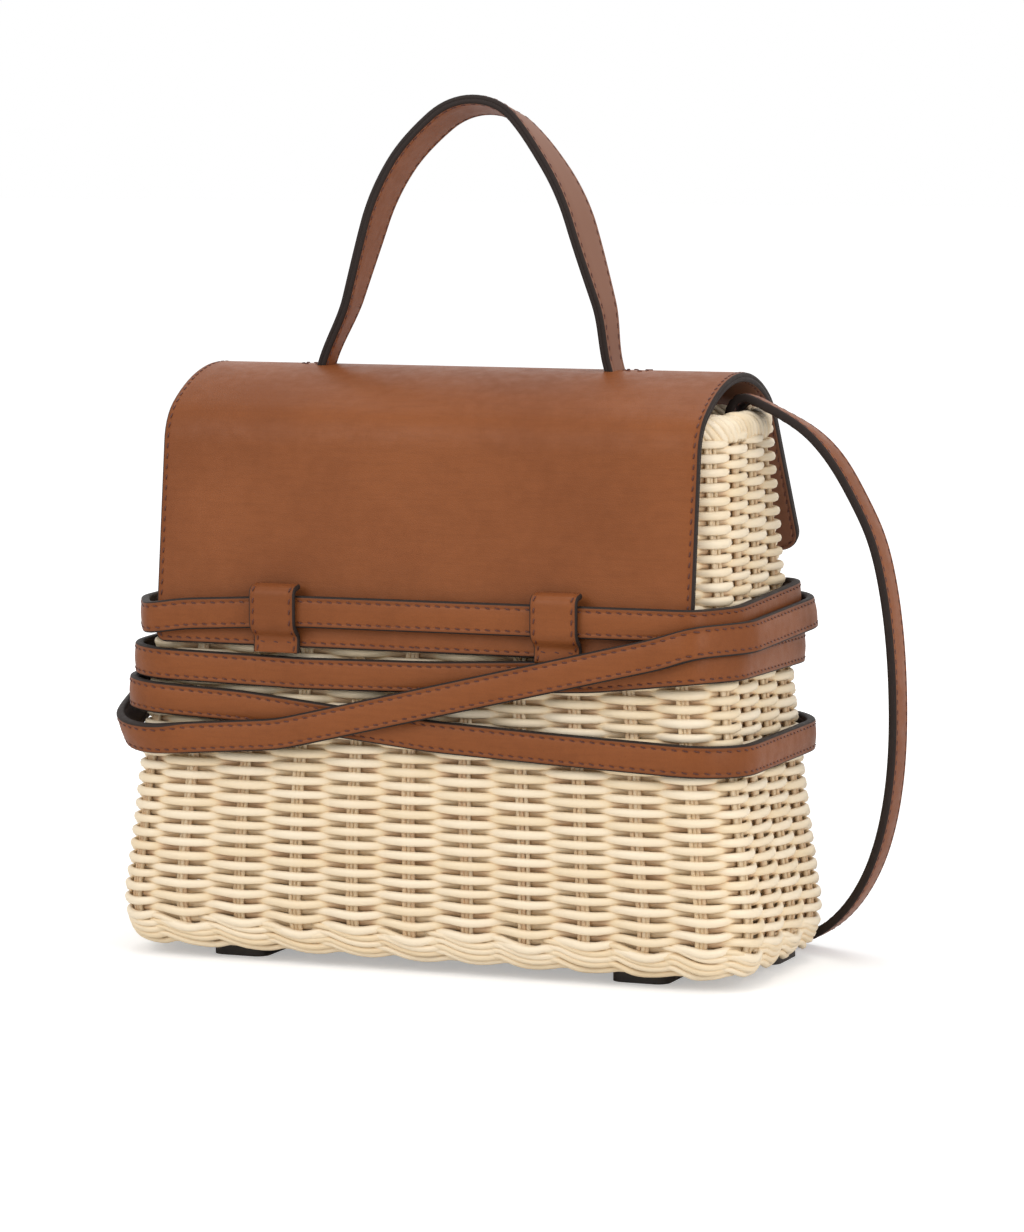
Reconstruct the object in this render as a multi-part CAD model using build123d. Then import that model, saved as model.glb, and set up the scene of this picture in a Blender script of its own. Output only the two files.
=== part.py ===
from build123d import *
import math
import os

# A wicker tote bag: an oblong basket with a leather flap folded over its mouth,
# a short leather handle, a long belt wound four times round the body through two
# keepers, and a shoulder strap that leaves by the right end of the rim.
# Millimetres. X runs to the right along the front, the front faces -Y, +Z is up,
# and the origin is on the floor under the middle of the basket.

# Basket body
foot_height = 7.0          # floor to the underside of the basket
rim_height = 255.5         # floor to the crest of the plaited rim
belly_height = 30.0        # height at which the basket is widest
belly_length = 310.0       # overall length at the belly
belly_depth = 132.0        # front to back at the belly
rim_length = 276.0         # overall length at the rim
rim_depth = 84.0           # front to back at the rim
base_tuck = 9.0            # how far the wall draws in under the belly
corner_radius = 25.0       # plan radius of the four corners
wall = 7.0                 # thickness of the weave, stakes and canes together
length_taper = 1.25        # power of the taper of the ends
depth_taper = 2.6          # power of the taper of the front and back

# Weave
cane_rows = 74             # rows of cane up the wall
weave_depth = 3.3          # from the crest of a cane in to the stakes
row_spans = 10             # lengths in which the face of a row is made
gap_width = 5.0            # gap left beside a stake
gap_height = 2.4
stake_count = 30           # stakes round the body
stake_shift = 0.23         # the first stake misses the front's middle by this share of a pitch
gap_levels = 8             # heights at which the wall shows gaps, every other stake
mouth_steps = 8            # straight steps up the inside of the wall

# Plaited borders and woven bottom
border_height = 8.5
border_thick = 8.6
border_round = 5.0         # rounding of the outer edge
groove_depth = 1.4         # grooves between the strands
groove_width = 1.5
strand_lean = 38.0         # degrees a strand leans from the upright
strand_count = 60          # strands round each border
bottom_thick = 5.5
rib_width = 1.6            # grooves across the woven bottom
rib_pitch = 25.0
seat = 0.3                 # clearance of pieces seated on each other

# Leather flap, two layers sewn back to back
leather = 2.2
flap_length = 260.0        # along the bag
flap_front_edge = 147.4    # height of its front edge
flap_back_edge = 186.0     # height of its back edge
crown_rise = 16.8          # the fold stands this far above the rim
knee_drop = 16.1           # the flat front panel ends this far below the rim
flap_crown = rim_height + crown_rise
flap_leg = rim_height - knee_drop - flap_front_edge
flap_steps = 20            # heights at which the panel is held clear of the wall
knee_clearance = 13.9      # from the rim's front edge out to the top of the panel
flap_lean = 6.5            # degrees the front panel leans back
flap_flare = 31.4          # degrees the back panel stands away from the wall
flap_front_corner = 5.0
flap_back_corner = 11.0
crown_shift = 4.0          # the highest line of the fold lies this far behind the middle
shoulder_turn = 35.0       # degrees of slope where the front shoulder meets the crown
back_turn = 30.0           # degrees of slope where the crown meets the back shoulder
shoulder_inset = 2.0       # the back shoulder starts this far inside the rim's edge
back_crown_radius = (rim_depth / 2 - shoulder_inset - crown_shift) / math.sin(math.radians(back_turn))
back_shoulder_radius = 45.4

# Belt
belt_width = 14.4
belt_thick = 4.0
flap_corner_bend = 16.0    # radius where it leaves the edge of the flap
front_bend = 80.0          # radius of the slight bends along the front
pass_gap = 0.4             # between passes that lie on each other
slack = 6.0                # how far a slack pass stands off an end of the basket
belt_start = -95.0         # the sewn end at the back
belt_tail = 60.0           # the free end at the back
belt_tail_height = 163.0
bend_steps = 6             # flats round one bend of the belt

# Keepers, the two leather loops on the flap
keeper_width = 22.5
keeper_thick = 2.8
keeper_place = 68.2        # to each side of the middle
keeper_top = 4.0           # flange above the belt
keeper_bottom = 10.0       # flange below the belt
keeper_shoulder = 3.0      # height of the slope between flange and bridge

# Handle, two layers sewn back to back
handle_rise = 124.7        # its top above the fold of the flap
handle_top = flap_crown + handle_rise
handle_crown_radius = 32.0
handle_shoulder_radius = 110.0
handle_crown_turn = 42.0   # degrees from the top to where the shoulders begin
handle_splay = 17.0        # degrees the legs stand off the upright
handle_width = 25.0        # at the crown
handle_base_width = 14.0   # where it passes through the flap
handle_growth = 72.7       # the width is full from this far above the flap
handle_shift = 2.0         # the handle stands this far behind the middle
tab_bend = 5.0
tab_length = 24.0          # end sewn under the flap
slot_clearance = 0.3

# Shoulder strap
strap_width = 18.0
strap_thick = 4.0
strap_steps = 72
strap_rim = 255.5          # the rim height for which the strap's route is drawn
strap_free = 184.0         # the route keeps its place below this height
strap_joined = 246.0       # and moves with the rim above this one

# Feet
pad_length = 27.0
pad_depth = 32.0
pad_corner = 6.0
front_pad = (98.5, -30.0)
back_pad = (129.0, 35.5)

# Lacing that ties the flap to the back of the rim
lace_radius = 1.3
lace_place = 62.0          # to each side of the middle
lace_drop = 4.5            # below the rim border
lace_bend = 3.0
lace_clearance = 0.8       # between a lace and the leather it passes


def half_length(z):
    """Half the outer length of the basket at a height."""
    if z < belly_height:
        return belly_length / 2 - tuck(z)
    t = min(1.0, (z - belly_height) / (rim_height - belly_height))
    return rim_length / 2 + (belly_length - rim_length) / 2 * (1 - t) ** length_taper


def half_depth(z):
    """Half the outer depth of the basket at a height."""
    if z < belly_height:
        return belly_depth / 2 - tuck(z)
    t = (z - belly_height) / (rim_height - belly_height)
    return belly_depth / 2 - (belly_depth - rim_depth) / 2 * t ** depth_taper


def tuck(z):
    """How far the wall has drawn in at a height under the belly, on a quarter ellipse."""
    drop = min(1.0, (belly_height - z) / (belly_height - foot_height))
    return base_tuck * (1 - math.sqrt(1 - drop * drop))


def plan(z, inset=0.0):
    """The basket's plan at a height, drawn in by an inset, as a face on the floor."""
    return RectangleRounded(
        2 * (half_length(z) - inset), 2 * (half_depth(z) - inset), corner_radius - inset
    )


def ring(sections):
    """A lofted stack of plans, each given as a height and an inset."""
    return loft([Pos(0, 0, z) * plan(z, inset) for z, inset in sections], ruled=True)


def stations(z, count, phase=0.0):
    """Points spaced evenly round the basket from the middle of the front, facing outwards.

    The outline itself starts at the back of the left end, so a walk round one end and one
    corner comes first."""
    edge = (Pos(0, 0, z) * plan(z)).face().outer_wire()
    end = 2 * (half_depth(z) - corner_radius)
    corner = corner_radius * math.pi / 2
    walk = (end + corner + half_length(z) - corner_radius) / edge.length
    places = []
    for i in range(count):
        t = (walk + (i + phase) / count) % 1
        along = edge % t
        out = Vector(along.Y, -along.X, 0)
        if out.dot(edge @ t) < 0:
            out = out * -1
        places.append(Plane(origin=edge @ t, x_dir=out, z_dir=(0, 0, 1)))
    return places


def woven_row(z, row):
    """One row of cane as a closed wave: out over every other stake, in behind the rest."""
    crests = []
    for i, place in enumerate(stations(z, 2 * stake_count, -2 * stake_shift)):
        over = math.cos(math.pi * (i / 2 + row))
        crests.append(place.origin - place.x_dir * weave_depth * (1 - over) / 2)
    line = Edge.make_spline(crests, periodic=True)
    spans = [line.trim(k / row_spans, (k + 1) / row_spans) for k in range(row_spans)]
    return Face(Wire(spans))


def make_wall():
    """The woven wall: each row of cane waves against the next, with gaps beside the stakes."""
    low = foot_height + border_height
    high = rim_height - border_height
    pitch = (high - low) / cane_rows
    rows = [woven_row(low, 0)]
    rows += [woven_row(low + (row + 0.5) * pitch, row) for row in range(cane_rows)]
    rows.append(woven_row(high, cane_rows - 1))
    hollow = [(low + (high - low) * k / mouth_steps, wall) for k in range(mouth_steps + 1)]
    body = loft(rows, ruled=True) - ring(hollow)
    holes = []
    for level in range(gap_levels):
        z = low + round((level + 0.5) * cane_rows / gap_levels) * pitch
        for place in stations(z, stake_count // 2, 0.5 * (level % 2) + 0.25):
            holes.append(place * Box(4 * wall, gap_width, gap_height))
    for side in (-1, 1):
        bore = Cylinder(lace_radius + seat, belly_depth / 2, rotation=(90, 0, 0))
        holes.append(Pos(side * lace_place, belly_depth / 2, lace_level()) * bore)
    return body - holes


def lace_level():
    """The height at which the lacing passes through the wall."""
    return rim_height - border_height - lace_drop


def make_border(low, high, rounding, lean):
    """A plaited ring between two heights, with slanting grooves between its strands."""
    steps = zip((0.0, 0.35, 0.7, 1.0), rounding)
    body = ring([(low + (high - low) * s, border_round * r) for s, r in steps])
    middle = (low + high) / 2
    mouth = plan(middle, border_thick)
    body -= Pos(0, 0, low - 1) * extrude(mouth, high - low + 2)
    grooves = []
    for place in stations(middle, strand_count):
        groove = Rot(lean, 0, 0) * Box(2 * groove_depth, groove_width, 3 * border_height)
        grooves.append(place * groove)
    return body - grooves


def make_bottom():
    """The woven bottom, laid inside the foot border, with a groove between its canes."""
    middle = foot_height + border_height / 2
    inset = border_thick + seat
    plate = Pos(0, 0, foot_height) * extrude(plan(middle, inset), bottom_thick)
    length = 2 * (half_length(middle) - inset)
    count = round(length / rib_pitch)
    ribs = []
    for i in range(1, count):
        rib = Box(rib_width, 2 * belly_depth, rib_width)
        ribs.append(Pos((i / count - 0.5) * length, 0, foot_height + bottom_thick) * rib)
    return plate - ribs


def make_pad(place, side):
    """One leather foot under the basket."""
    pad = extrude(RectangleRounded(pad_length, pad_depth, pad_corner), foot_height)
    return Pos(side * place[0], place[1], 0) * pad


def flap_front(z):
    """Where the outer face of the front panel stands at a height, clear of wall and rim."""
    slope = math.tan(math.radians(flap_lean))
    rises = [flap_leg * k / flap_steps for k in range(flap_steps + 1)]
    foot = max(half_depth(flap_front_edge + rise) + rise * slope for rise in rises)
    foot += seat + 2 * leather
    over_rim = rim_depth / 2 + knee_clearance + flap_leg * slope
    return (z - flap_front_edge) * slope - max(foot, over_rim)


def flap_section():
    """The outer face of the flap, front edge to back edge: a line, four arcs and a line."""
    knee = Vector(flap_front(flap_front_edge + flap_leg), flap_front_edge + flap_leg)
    lean = math.radians(flap_lean)
    turn = math.radians(shoulder_turn)
    # Two radii carry the front panel's slope to level exactly at the crown.
    a = math.cos(turn) - math.sin(lean)
    b = 1 - math.cos(turn)
    c = math.cos(lean) - math.sin(turn)
    d = math.sin(turn)
    rise = flap_crown - knee.Y
    run = crown_shift - knee.X
    shoulder = (rise * d - run * b) / (a * d - b * c)
    crown = (run - shoulder * c) / d
    front = Line((flap_front(flap_front_edge), flap_front_edge), knee)
    arcs = [front]
    turns = [
        (shoulder, 90 - flap_lean - shoulder_turn),
        (crown, shoulder_turn),
        (back_crown_radius, back_turn),
        (back_shoulder_radius, 90 - flap_flare - back_turn),
    ]
    for radius, angle in turns:
        last = arcs[-1]
        arcs.append(JernArc(last @ 1, last % 1, radius, -angle))
    last = arcs[-1]
    fall = ((last @ 1).Y - flap_back_edge) / math.cos(math.radians(flap_flare))
    return arcs + [Line(last @ 1, (last @ 1) + (last % 1) * fall)]


def drawn_in(pieces, depth):
    """The same section at a depth below its face: lines shift, arcs lose radius."""
    moved = []
    for piece in pieces:
        ends = []
        for t in (0, 0.5, 1):
            along = piece % t
            ends.append((piece @ t) + Vector(along.Y, -along.X) * depth)
        if piece.geom_type == GeomType.LINE:
            moved.append(Line(ends[0], ends[2]))
        else:
            moved.append(ThreePointArc(*ends))
    return moved


def make_flap_layer(outer, inner):
    """One leather of the flap, between two depths below its outer face."""
    top = drawn_in(flap_section(), outer)
    under = drawn_in(flap_section(), inner)
    caps = [Line(top[0] @ 0, under[0] @ 0), Line(top[-1] @ 1, under[-1] @ 1)]
    face = make_face(top + under + caps)
    body = extrude(Plane.YZ * face, flap_length / 2, both=True)
    short = [e for e in body.edges() if abs(e.length - (inner - outer)) < 0.01]
    for edge in short:
        radius = flap_front_corner if edge.center().Y < 0 else flap_back_corner
        match = [e for e in body.edges() if (e.center() - edge.center()).length < 0.01]
        body = fillet(match, radius)
    cutters = [handle_layer(-leather - slot_clearance, leather + slot_clearance, slot_clearance)]
    cutters += [make_lace(side, seat) for side in (-1, 1)]
    return body - cutters


def ribbon(places, low, high):
    """A flat band through a list of stations: centre, face direction, width vector."""
    wires = []
    for centre, face, across in places:
        corners = [
            centre + face * low - across,
            centre + face * high - across,
            centre + face * high + across,
            centre + face * low + across,
        ]
        wires.append(Wire.make_polygon(corners, close=True))
    return Solid.make_loft(wires, ruled=True)


def handle_path():
    """Right half of the handle's middle line in the plane of the arch, top to tab end."""
    first = JernArc((0, handle_top - leather), (1, 0), handle_crown_radius - leather, -handle_crown_turn)
    rest = 90 - handle_crown_turn - handle_splay
    second = JernArc(first @ 1, first % 1, handle_shoulder_radius - leather, -rest)
    splay = math.radians(handle_splay)
    tab = tab_height()
    bend_rise = tab_bend * (1 - math.sin(splay))
    fall = ((second @ 1).Y - tab - bend_rise) / math.cos(splay)
    leg = Line(second @ 1, (second @ 1) + (second % 1) * fall)
    bend = JernArc(leg @ 1, leg % 1, tab_bend, 90 - handle_splay)
    end = Line(bend @ 1, (bend @ 1) + Vector(tab_length, 0))
    return [(first, 7), (second, 5), (leg, 7), (bend, 6), (end, 1)]


def tab_height():
    """The middle of the sewn ends, close under the curved crown of the flap."""
    reach = abs(crown_shift - handle_shift) + handle_base_width / 2
    sag = reach * reach / (2 * (back_crown_radius - 2 * leather))
    return flap_crown - 3 * leather - sag - 2 * seat


def handle_layer(low, high, spare=0.0):
    """One leather of the handle, between two depths about its middle line."""
    half = []
    for piece, steps in handle_path():
        for i in range(steps):
            half.append((piece @ (i / steps), piece % (i / steps)))
    last = handle_path()[-1][0]
    half.append((last @ 1, last % 1))
    places = []
    for side in (-1, 1):
        row = []
        for point, along in half:
            t = min(1.0, max(0.0, (point.Y - flap_crown) / handle_growth))
            width = handle_base_width + (handle_width - handle_base_width) * t * t * (3 - 2 * t)
            centre = Vector(side * point.X, handle_shift, point.Y)
            face = Vector(-side * along.Y, 0, along.X)
            row.append((centre, face, Vector(0, width / 2 + spare, 0)))
        places += row[::-1] if side < 0 else row[1:]
    return ribbon(places, low, high)


def belt_route():
    """Corner points of the belt's middle line with the radius of each bend.

    Each winding gives its heights at the back left, front left, front right and back
    right corners, how far it stands off the left and right ends, its layer at the
    front, its bend at the front corners, and any low points along the front."""
    over = belt_thick + pass_gap
    half = belt_thick / 2 + pass_gap
    corner = corner_radius + half
    windings = [
        ((160, 161, 165.5, 167.5), (0, 0), 0, flap_corner_bend, []),
        ((141, 137.5, 146, 145), (2, 2.4), 0, flap_corner_bend, [(-40, 136), (75, 139)]),
        ((124.5, 121.5, 103.5, 102), (1, slack), 0, corner, [(0, 110)]),
        ((101, 101.5, 159, 161), (slack, slack + 1.6), 1, corner - slack, [(-90, 105), (68, 140)]),
    ]
    first = windings[0][0][0]
    route = [((belt_start, wall_back(first) + half, first), 0)]
    layer_back = 0
    for heights, stand, layer, bend, lows in windings:
        z_bl, z_fl, z_fr, z_br = heights
        left = -wall_end(z_fl) - half - stand[0]
        right = wall_end(z_fr) + half + stand[1]
        front = -max(-flap_front(flap_front_edge), wall_back(z_fr)) - half - layer * over
        if max(z_fl, z_fr) + belt_width / 2 < flap_front_edge:
            front = -wall_back(z_fr) - half
        route.append(((left, wall_back(z_bl) + half, z_bl), corner))
        route.append(((left, front, z_fl), bend))
        route += [((x, front, z), front_bend) for x, z in lows]
        route.append(((right, front, z_fr), bend))
        layer_back = layer * over
        route.append(((right, wall_back(z_br) + half + layer_back, z_br), corner))
    tail_back = wall_back(belt_tail_height - belt_width) + half + layer_back
    route.append(((belt_tail, tail_back, belt_tail_height), 0))
    return route


def wall_end(z):
    """The end of the basket at the lower edge of a belt pass."""
    return half_length(z - belt_width / 2)


def wall_back(z):
    """The back or front of the basket at the lower edge of a belt pass."""
    return half_depth(z - belt_width / 2)


def make_belt():
    """The belt: one band, upright everywhere, through the rounded corners of its route."""
    route = belt_route()
    line = FilletPolyline(*[p for p, r in route], radius=[r for p, r in route[1:-1]])
    places = []
    for edge in line.edges():
        steps = 1 if edge.geom_type == GeomType.LINE else bend_steps
        for i in range(steps):
            places.append(band_station(edge @ (i / steps), edge % (i / steps), belt_width))
    last = line.edges()[-1]
    places.append(band_station(last @ 1, last % 1, belt_width))
    return ribbon(places, -belt_thick / 2, belt_thick / 2)


def band_station(centre, along, width, up=Vector(0, 0, 1)):
    """A station whose width lies as near to a given direction as the path allows."""
    across = (up - along * up.dot(along)).normalized()
    return centre, along.cross(across), across * (width / 2)


def make_keeper(side):
    """One keeper: flanges on the flap and a bridge over the first pass of the belt."""
    level = belt_level(side * keeper_place)
    low = level - belt_width / 2
    high = level + belt_width / 2
    bridge = flap_front(flap_front_edge) - pass_gap - belt_thick - pass_gap - seat
    inner = [
        (flap_front(low - keeper_bottom), low - keeper_bottom),
        (flap_front(low - keeper_shoulder), low - keeper_shoulder),
        (bridge, low - seat),
        (bridge, high + seat),
        (flap_front(high + 0.7 * keeper_shoulder), high + 0.7 * keeper_shoulder),
        (flap_front(high + keeper_top), high + keeper_top),
    ]
    rise = keeper_thick * 0.5
    shift = [0, -rise, -rise, rise, rise, 0]
    outer = [(y - keeper_thick, z + s) for (y, z), s in zip(inner, shift)]
    outer[4] = (outer[4][0], min(outer[4][1], inner[5][1] - 0.3))
    face = make_face(Polyline(*inner, *outer[::-1], close=True))
    body = extrude(Plane.YZ * face, keeper_width / 2, both=True)
    return Pos(side * keeper_place, 0, 0) * body


def belt_level(x):
    """The height of the first pass along the front, from its heights at the corners."""
    left, right = [p for p, r in belt_route()[2:4]]
    t = (x - left[0]) / (right[0] - left[0])
    return left[2] + (right[2] - left[2]) * t


def make_lace(side, spare=0.0):
    """A closed loop of lacing through the flap, under the rim border and back over it."""
    low = lace_level()
    high = rim_height + 2 * (lace_radius + lace_clearance)
    inside = half_depth(low) - border_thick - 2 * (lace_radius + lace_clearance)
    shoulder = flap_section()[4]
    upper = (shoulder @ 0).X + 2 * (lace_radius + lace_clearance) + lace_bend
    lower = (shoulder @ 1).X + 2 * (lace_radius + lace_clearance) + lace_bend
    points = [(inside, low), (lower, low), (upper, high), (inside, high)]
    loop = FilletPolyline(*points, radius=lace_bend, close=True)
    path = Plane.YZ * loop
    start = Plane(origin=path @ 0, z_dir=path % 0)
    tube = sweep(start * Circle(lace_radius + spare), path=path)
    return Pos(side * lace_place, 0, 0) * tube


def strap_route():
    """Points of the shoulder strap's middle with the direction of its far edge.

    It rises inside the right end, bends over the rim, swings out and down to the
    floor, turns over behind the bag and climbs to the left end of the rim."""
    back = (0, 1, 0)
    climb = (0.6, 0.05, 0.8)
    return [
        ((129.4, 8, 214), back),
        ((128.3, 8, 233), back),
        ((125.9, 8, 246), back),
        ((124.7, 8, 254), back),
        ((129.2, 8, 260), (0, 1, -0.1)),
        ((138.7, 8, 258), (0, 1, -0.15)),
        ((149.7, 8.4, 253.1), (0, 1, -0.15)),
        ((161.2, 9.2, 246.4), (0, 1, -0.1)),
        ((173.1, 11, 233.8), back),
        ((183, 13, 216.4), back),
        ((189.8, 15, 200.4), back),
        ((193.6, 18, 182), back),
        ((194.8, 21, 166.9), back),
        ((195, 29, 127), back),
        ((190.8, 37, 86.8), back),
        ((184.7, 43, 61.6), back),
        ((175.1, 50, 39.8), back),
        ((161.9, 57, 22), back),
        ((144.7, 66, 8.8), back),
        ((128, 75, 3.1), back),
        ((104, 82, 2.5), (0, 1, 0.05)),
        ((72, 84, 6), (0.1, 0.9, 0.4)),
        ((36, 82, 19), (0.4, 0.5, 0.7)),
        ((-5, 79, 48), (0.55, 0.2, 0.8)),
        ((-50, 76, 95), climb),
        ((-90, 75, 138), climb),
        ((-120, 75, 163), (0.4, 0, 0.9)),
        ((-141, 56, 184), (0.1, 0.45, 0.8)),
        ((-146.5, 33, 207), (0, 0.7, 0.7)),
        ((-142.4, 19, 230), (0, 0.95, 0.3)),
        ((-141.4, 15, 248), back),
        ((-139, 15, 256.8), back),
        ((-133, 15, 260), back),
        ((-127.8, 15, 257.8), back),
        ((-126, 15, 251), back),
        ((-126, 15, 244), back),
        ((-128.3, 15, 232), back),
        ((-129.4, 15, 214), back),
    ]


def strap_height(z):
    """A height of the drawn route, moved with the rim where the strap is near it."""
    share = min(1.0, max(0.0, (z - strap_free) / (strap_joined - strap_free)))
    return z + (rim_height - strap_rim) * share


def make_strap():
    """The shoulder strap: a band through its route, turning with the far edge."""
    points = [Vector(x, y, strap_height(z)) for (x, y, z), far in strap_route()]
    fars = [Vector(far) for p, far in strap_route()]
    line = Spline(*points)
    knots = [line.param_at_point(p) for p in points]
    places = []
    for i in range(strap_steps + 1):
        t = i / strap_steps
        k = max(j for j in range(len(knots) - 1) if knots[j] <= t + 1e-9)
        mix = (t - knots[k]) / (knots[k + 1] - knots[k])
        far = fars[k] * (1 - mix) + fars[k + 1] * mix
        places.append(band_station(line @ t, line % t, strap_width, far))
    return ribbon(places, -strap_thick / 2, strap_thick / 2)


def build():
    """Every piece of the bag by the name of its file."""
    low = foot_height
    high = rim_height
    return {
        "basket_wall": make_wall(),
        "foot_border": make_border(low, low + border_height, (0.6, 0.2, 0, 0), strand_lean),
        "rim_border": make_border(high - border_height, high, (0.2, 0, 0.35, 1), -strand_lean),
        "basket_bottom": make_bottom(),
        "foot_front_left": make_pad(front_pad, -1),
        "foot_front_right": make_pad(front_pad, 1),
        "foot_back_left": make_pad(back_pad, -1),
        "foot_back_right": make_pad(back_pad, 1),
        "flap_outer": make_flap_layer(0, leather),
        "flap_lining": make_flap_layer(leather, 2 * leather),
        "handle_outer": handle_layer(0, leather),
        "handle_lining": handle_layer(-leather, 0),
        "keeper_left": make_keeper(-1),
        "keeper_right": make_keeper(1),
        "wrap_belt": make_belt(),
        "shoulder_strap": make_strap(),
        "flap_lace_left": make_lace(-1),
        "flap_lace_right": make_lace(1),
    }


os.makedirs("parts", exist_ok=True)
for name, shape in build().items():
    export_step(shape, f"parts/{name}.step")
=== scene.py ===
"""A wicker tote bag: woven cane basket, leather flap, handle, wound belt and shoulder strap.

Every surface is worked out with numpy as a function of two parameters, or as a round
section carried along a path. Sizes are in metres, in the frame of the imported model.
"""

import math

import bpy
import numpy as np
from bpy.props import FloatProperty, FloatVectorProperty, IntProperty, PointerProperty
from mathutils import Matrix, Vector


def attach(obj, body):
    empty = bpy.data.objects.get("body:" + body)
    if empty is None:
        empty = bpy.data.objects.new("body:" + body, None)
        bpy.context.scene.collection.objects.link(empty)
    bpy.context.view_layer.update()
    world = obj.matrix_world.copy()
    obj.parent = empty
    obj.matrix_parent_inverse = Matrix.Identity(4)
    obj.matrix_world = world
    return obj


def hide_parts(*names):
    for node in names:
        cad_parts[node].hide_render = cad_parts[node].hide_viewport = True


bl_info = {
    "name": "Wicker Tote Bag",
    "version": (1, 0, 0),
    "blender": (4, 5, 0),
    "location": "View3D > Sidebar > Tote Bag",
    "description": "Dresses the solids of a wicker tote bag in woven cane and stitched leather",
    "category": "Add Mesh",
}

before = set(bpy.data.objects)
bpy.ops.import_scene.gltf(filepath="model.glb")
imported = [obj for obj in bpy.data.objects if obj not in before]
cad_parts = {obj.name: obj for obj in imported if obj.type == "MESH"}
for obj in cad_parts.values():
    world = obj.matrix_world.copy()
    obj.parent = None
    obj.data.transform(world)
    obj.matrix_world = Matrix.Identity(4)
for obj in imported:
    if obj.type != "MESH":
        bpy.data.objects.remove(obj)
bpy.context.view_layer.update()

UP = np.array([0.0, 0.0, 1.0])
MM = 0.001
CANE_SIDES = 8
QUARTER = math.pi / 2


def size(name, description, default):
    """A length that a user may change."""
    return FloatProperty(
        name=name, description=description, default=default, precision=4,
        unit="LENGTH", subtype="DISTANCE",
    )


def angle(name, description, degrees):
    """An angle that a user may change."""
    return FloatProperty(
        name=name, description=description, default=math.radians(degrees),
        unit="ROTATION", subtype="ANGLE",
    )


def colour(name, description, default):
    """A linear colour that a user may change."""
    return FloatVectorProperty(
        name=name, description=description, default=(*default, 1.0),
        size=4, min=0.0, max=1.0, subtype="COLOR",
    )


class BasketSizes(bpy.types.PropertyGroup):
    """Outline of the woven basket."""

    foot_height: size("Foot Height", "Floor to the underside of the basket", 0.007)
    rim_height: size("Rim Height", "Floor to the crest of the rim", 0.2555)
    belly_height: size("Belly Height", "Height where the basket is widest", 0.030)
    belly_length: size("Belly Length", "Overall length at the belly", 0.315)
    belly_depth: size("Belly Depth", "Front to back at the belly", 0.132)
    rim_length: size("Rim Length", "Overall length at the rim", 0.276)
    rim_depth: size("Rim Depth", "Front to back at the rim", 0.084)
    base_tuck: size("Base Tuck", "How far the wall draws in under the belly", 0.0065)
    corner_radius: size("Corner Radius", "Plan radius of the corners", 0.025)
    border_height: size("Border Height", "Height of each plaited border", 0.0085)


class WeaveSizes(bpy.types.PropertyGroup):
    """Canes and stakes of the weave."""

    stakes: IntProperty(name="Stakes", description="Stakes round the basket", default=30, min=8)
    stake_shift: FloatProperty(
        name="Stake Shift", description="Share of a pitch by which the first stake misses the middle",
        default=0.23,
    )
    row_pitch: size("Row Pitch", "Rise from one row of cane to the next", 0.00313)
    cane_height: size("Cane Height", "Thickness of a weaving cane up the wall", 0.0042)
    cane_depth: size("Cane Depth", "Thickness of a weaving cane through the wall", 0.0033)
    swing: size("Swing", "How far a cane swings to each side of the stakes", 0.0031)
    middle: size("Middle", "Outer face of the wall to the middle of the stakes", 0.0048)
    stake_canes: IntProperty(name="Stake Canes", description="Thin canes in a stake", default=3, min=1)
    stake_thick: size("Stake Cane", "Thickness of a thin cane of a stake", 0.0021)
    foot_dip: size("Foot Dip", "How far the lowest rows dip at a stake", 0.0026)


class FlapSizes(bpy.types.PropertyGroup):
    """The leather flap and its two layers."""

    leather: size("Leather", "Thickness of one leather", 0.0022)
    length: size("Length", "Along the bag", 0.260)
    front_edge: size("Front Edge", "Height of the front edge", 0.1474)
    back_edge: size("Back Edge", "Height of the back edge", 0.186)
    crown: size("Crown", "Height of the fold", 0.2723)
    crown_shift: size("Crown Shift", "Highest line behind the middle", 0.004)
    leg: size("Leg", "Rise of the flat front panel", 0.092)
    lean: angle("Lean", "How far the front panel leans back", 6.5)
    flare: angle("Flare", "How far the back panel stands off upright", 31.4)
    shoulder_turn: angle("Shoulder Turn", "Slope where shoulder meets crown", 35.0)
    back_turn: angle("Back Turn", "Slope where crown meets back shoulder", 30.0)
    back_crown_radius: size("Back Crown Radius", "Bend behind the crown", 0.072)
    back_shoulder_radius: size("Back Shoulder Radius", "Bend into the back panel", 0.0454)
    front_corner: size("Front Corner", "Radius of the front corners", 0.005)
    back_corner: size("Back Corner", "Radius of the back corners", 0.011)
    seat: size("Seat", "Clearance of seated pieces", 0.0003)


class StrapSizes(bpy.types.PropertyGroup):
    """The belt, its keepers and the shoulder strap."""

    belt_width: size("Belt Width", "Width of the belt", 0.0144)
    belt_thick: size("Belt Thickness", "Thickness of the belt", 0.004)
    pass_gap: size("Pass Gap", "Between passes that lie on each other", 0.0004)
    flap_bend: size("Flap Bend", "Radius where a pass leaves the flap", 0.008)
    front_bend: size("Front Bend", "Radius of slight bends along the front", 0.080)
    keeper_width: size("Keeper Width", "Width of a keeper", 0.0225)
    keeper_thick: size("Keeper Thickness", "Leather of a keeper", 0.0028)
    keeper_place: size("Keeper Place", "Keeper to the middle of the flap", 0.0682)
    strap_width: size("Strap Width", "Width of the shoulder strap", 0.018)
    strap_thick: size("Strap Thickness", "Thickness of the shoulder strap", 0.004)


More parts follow.
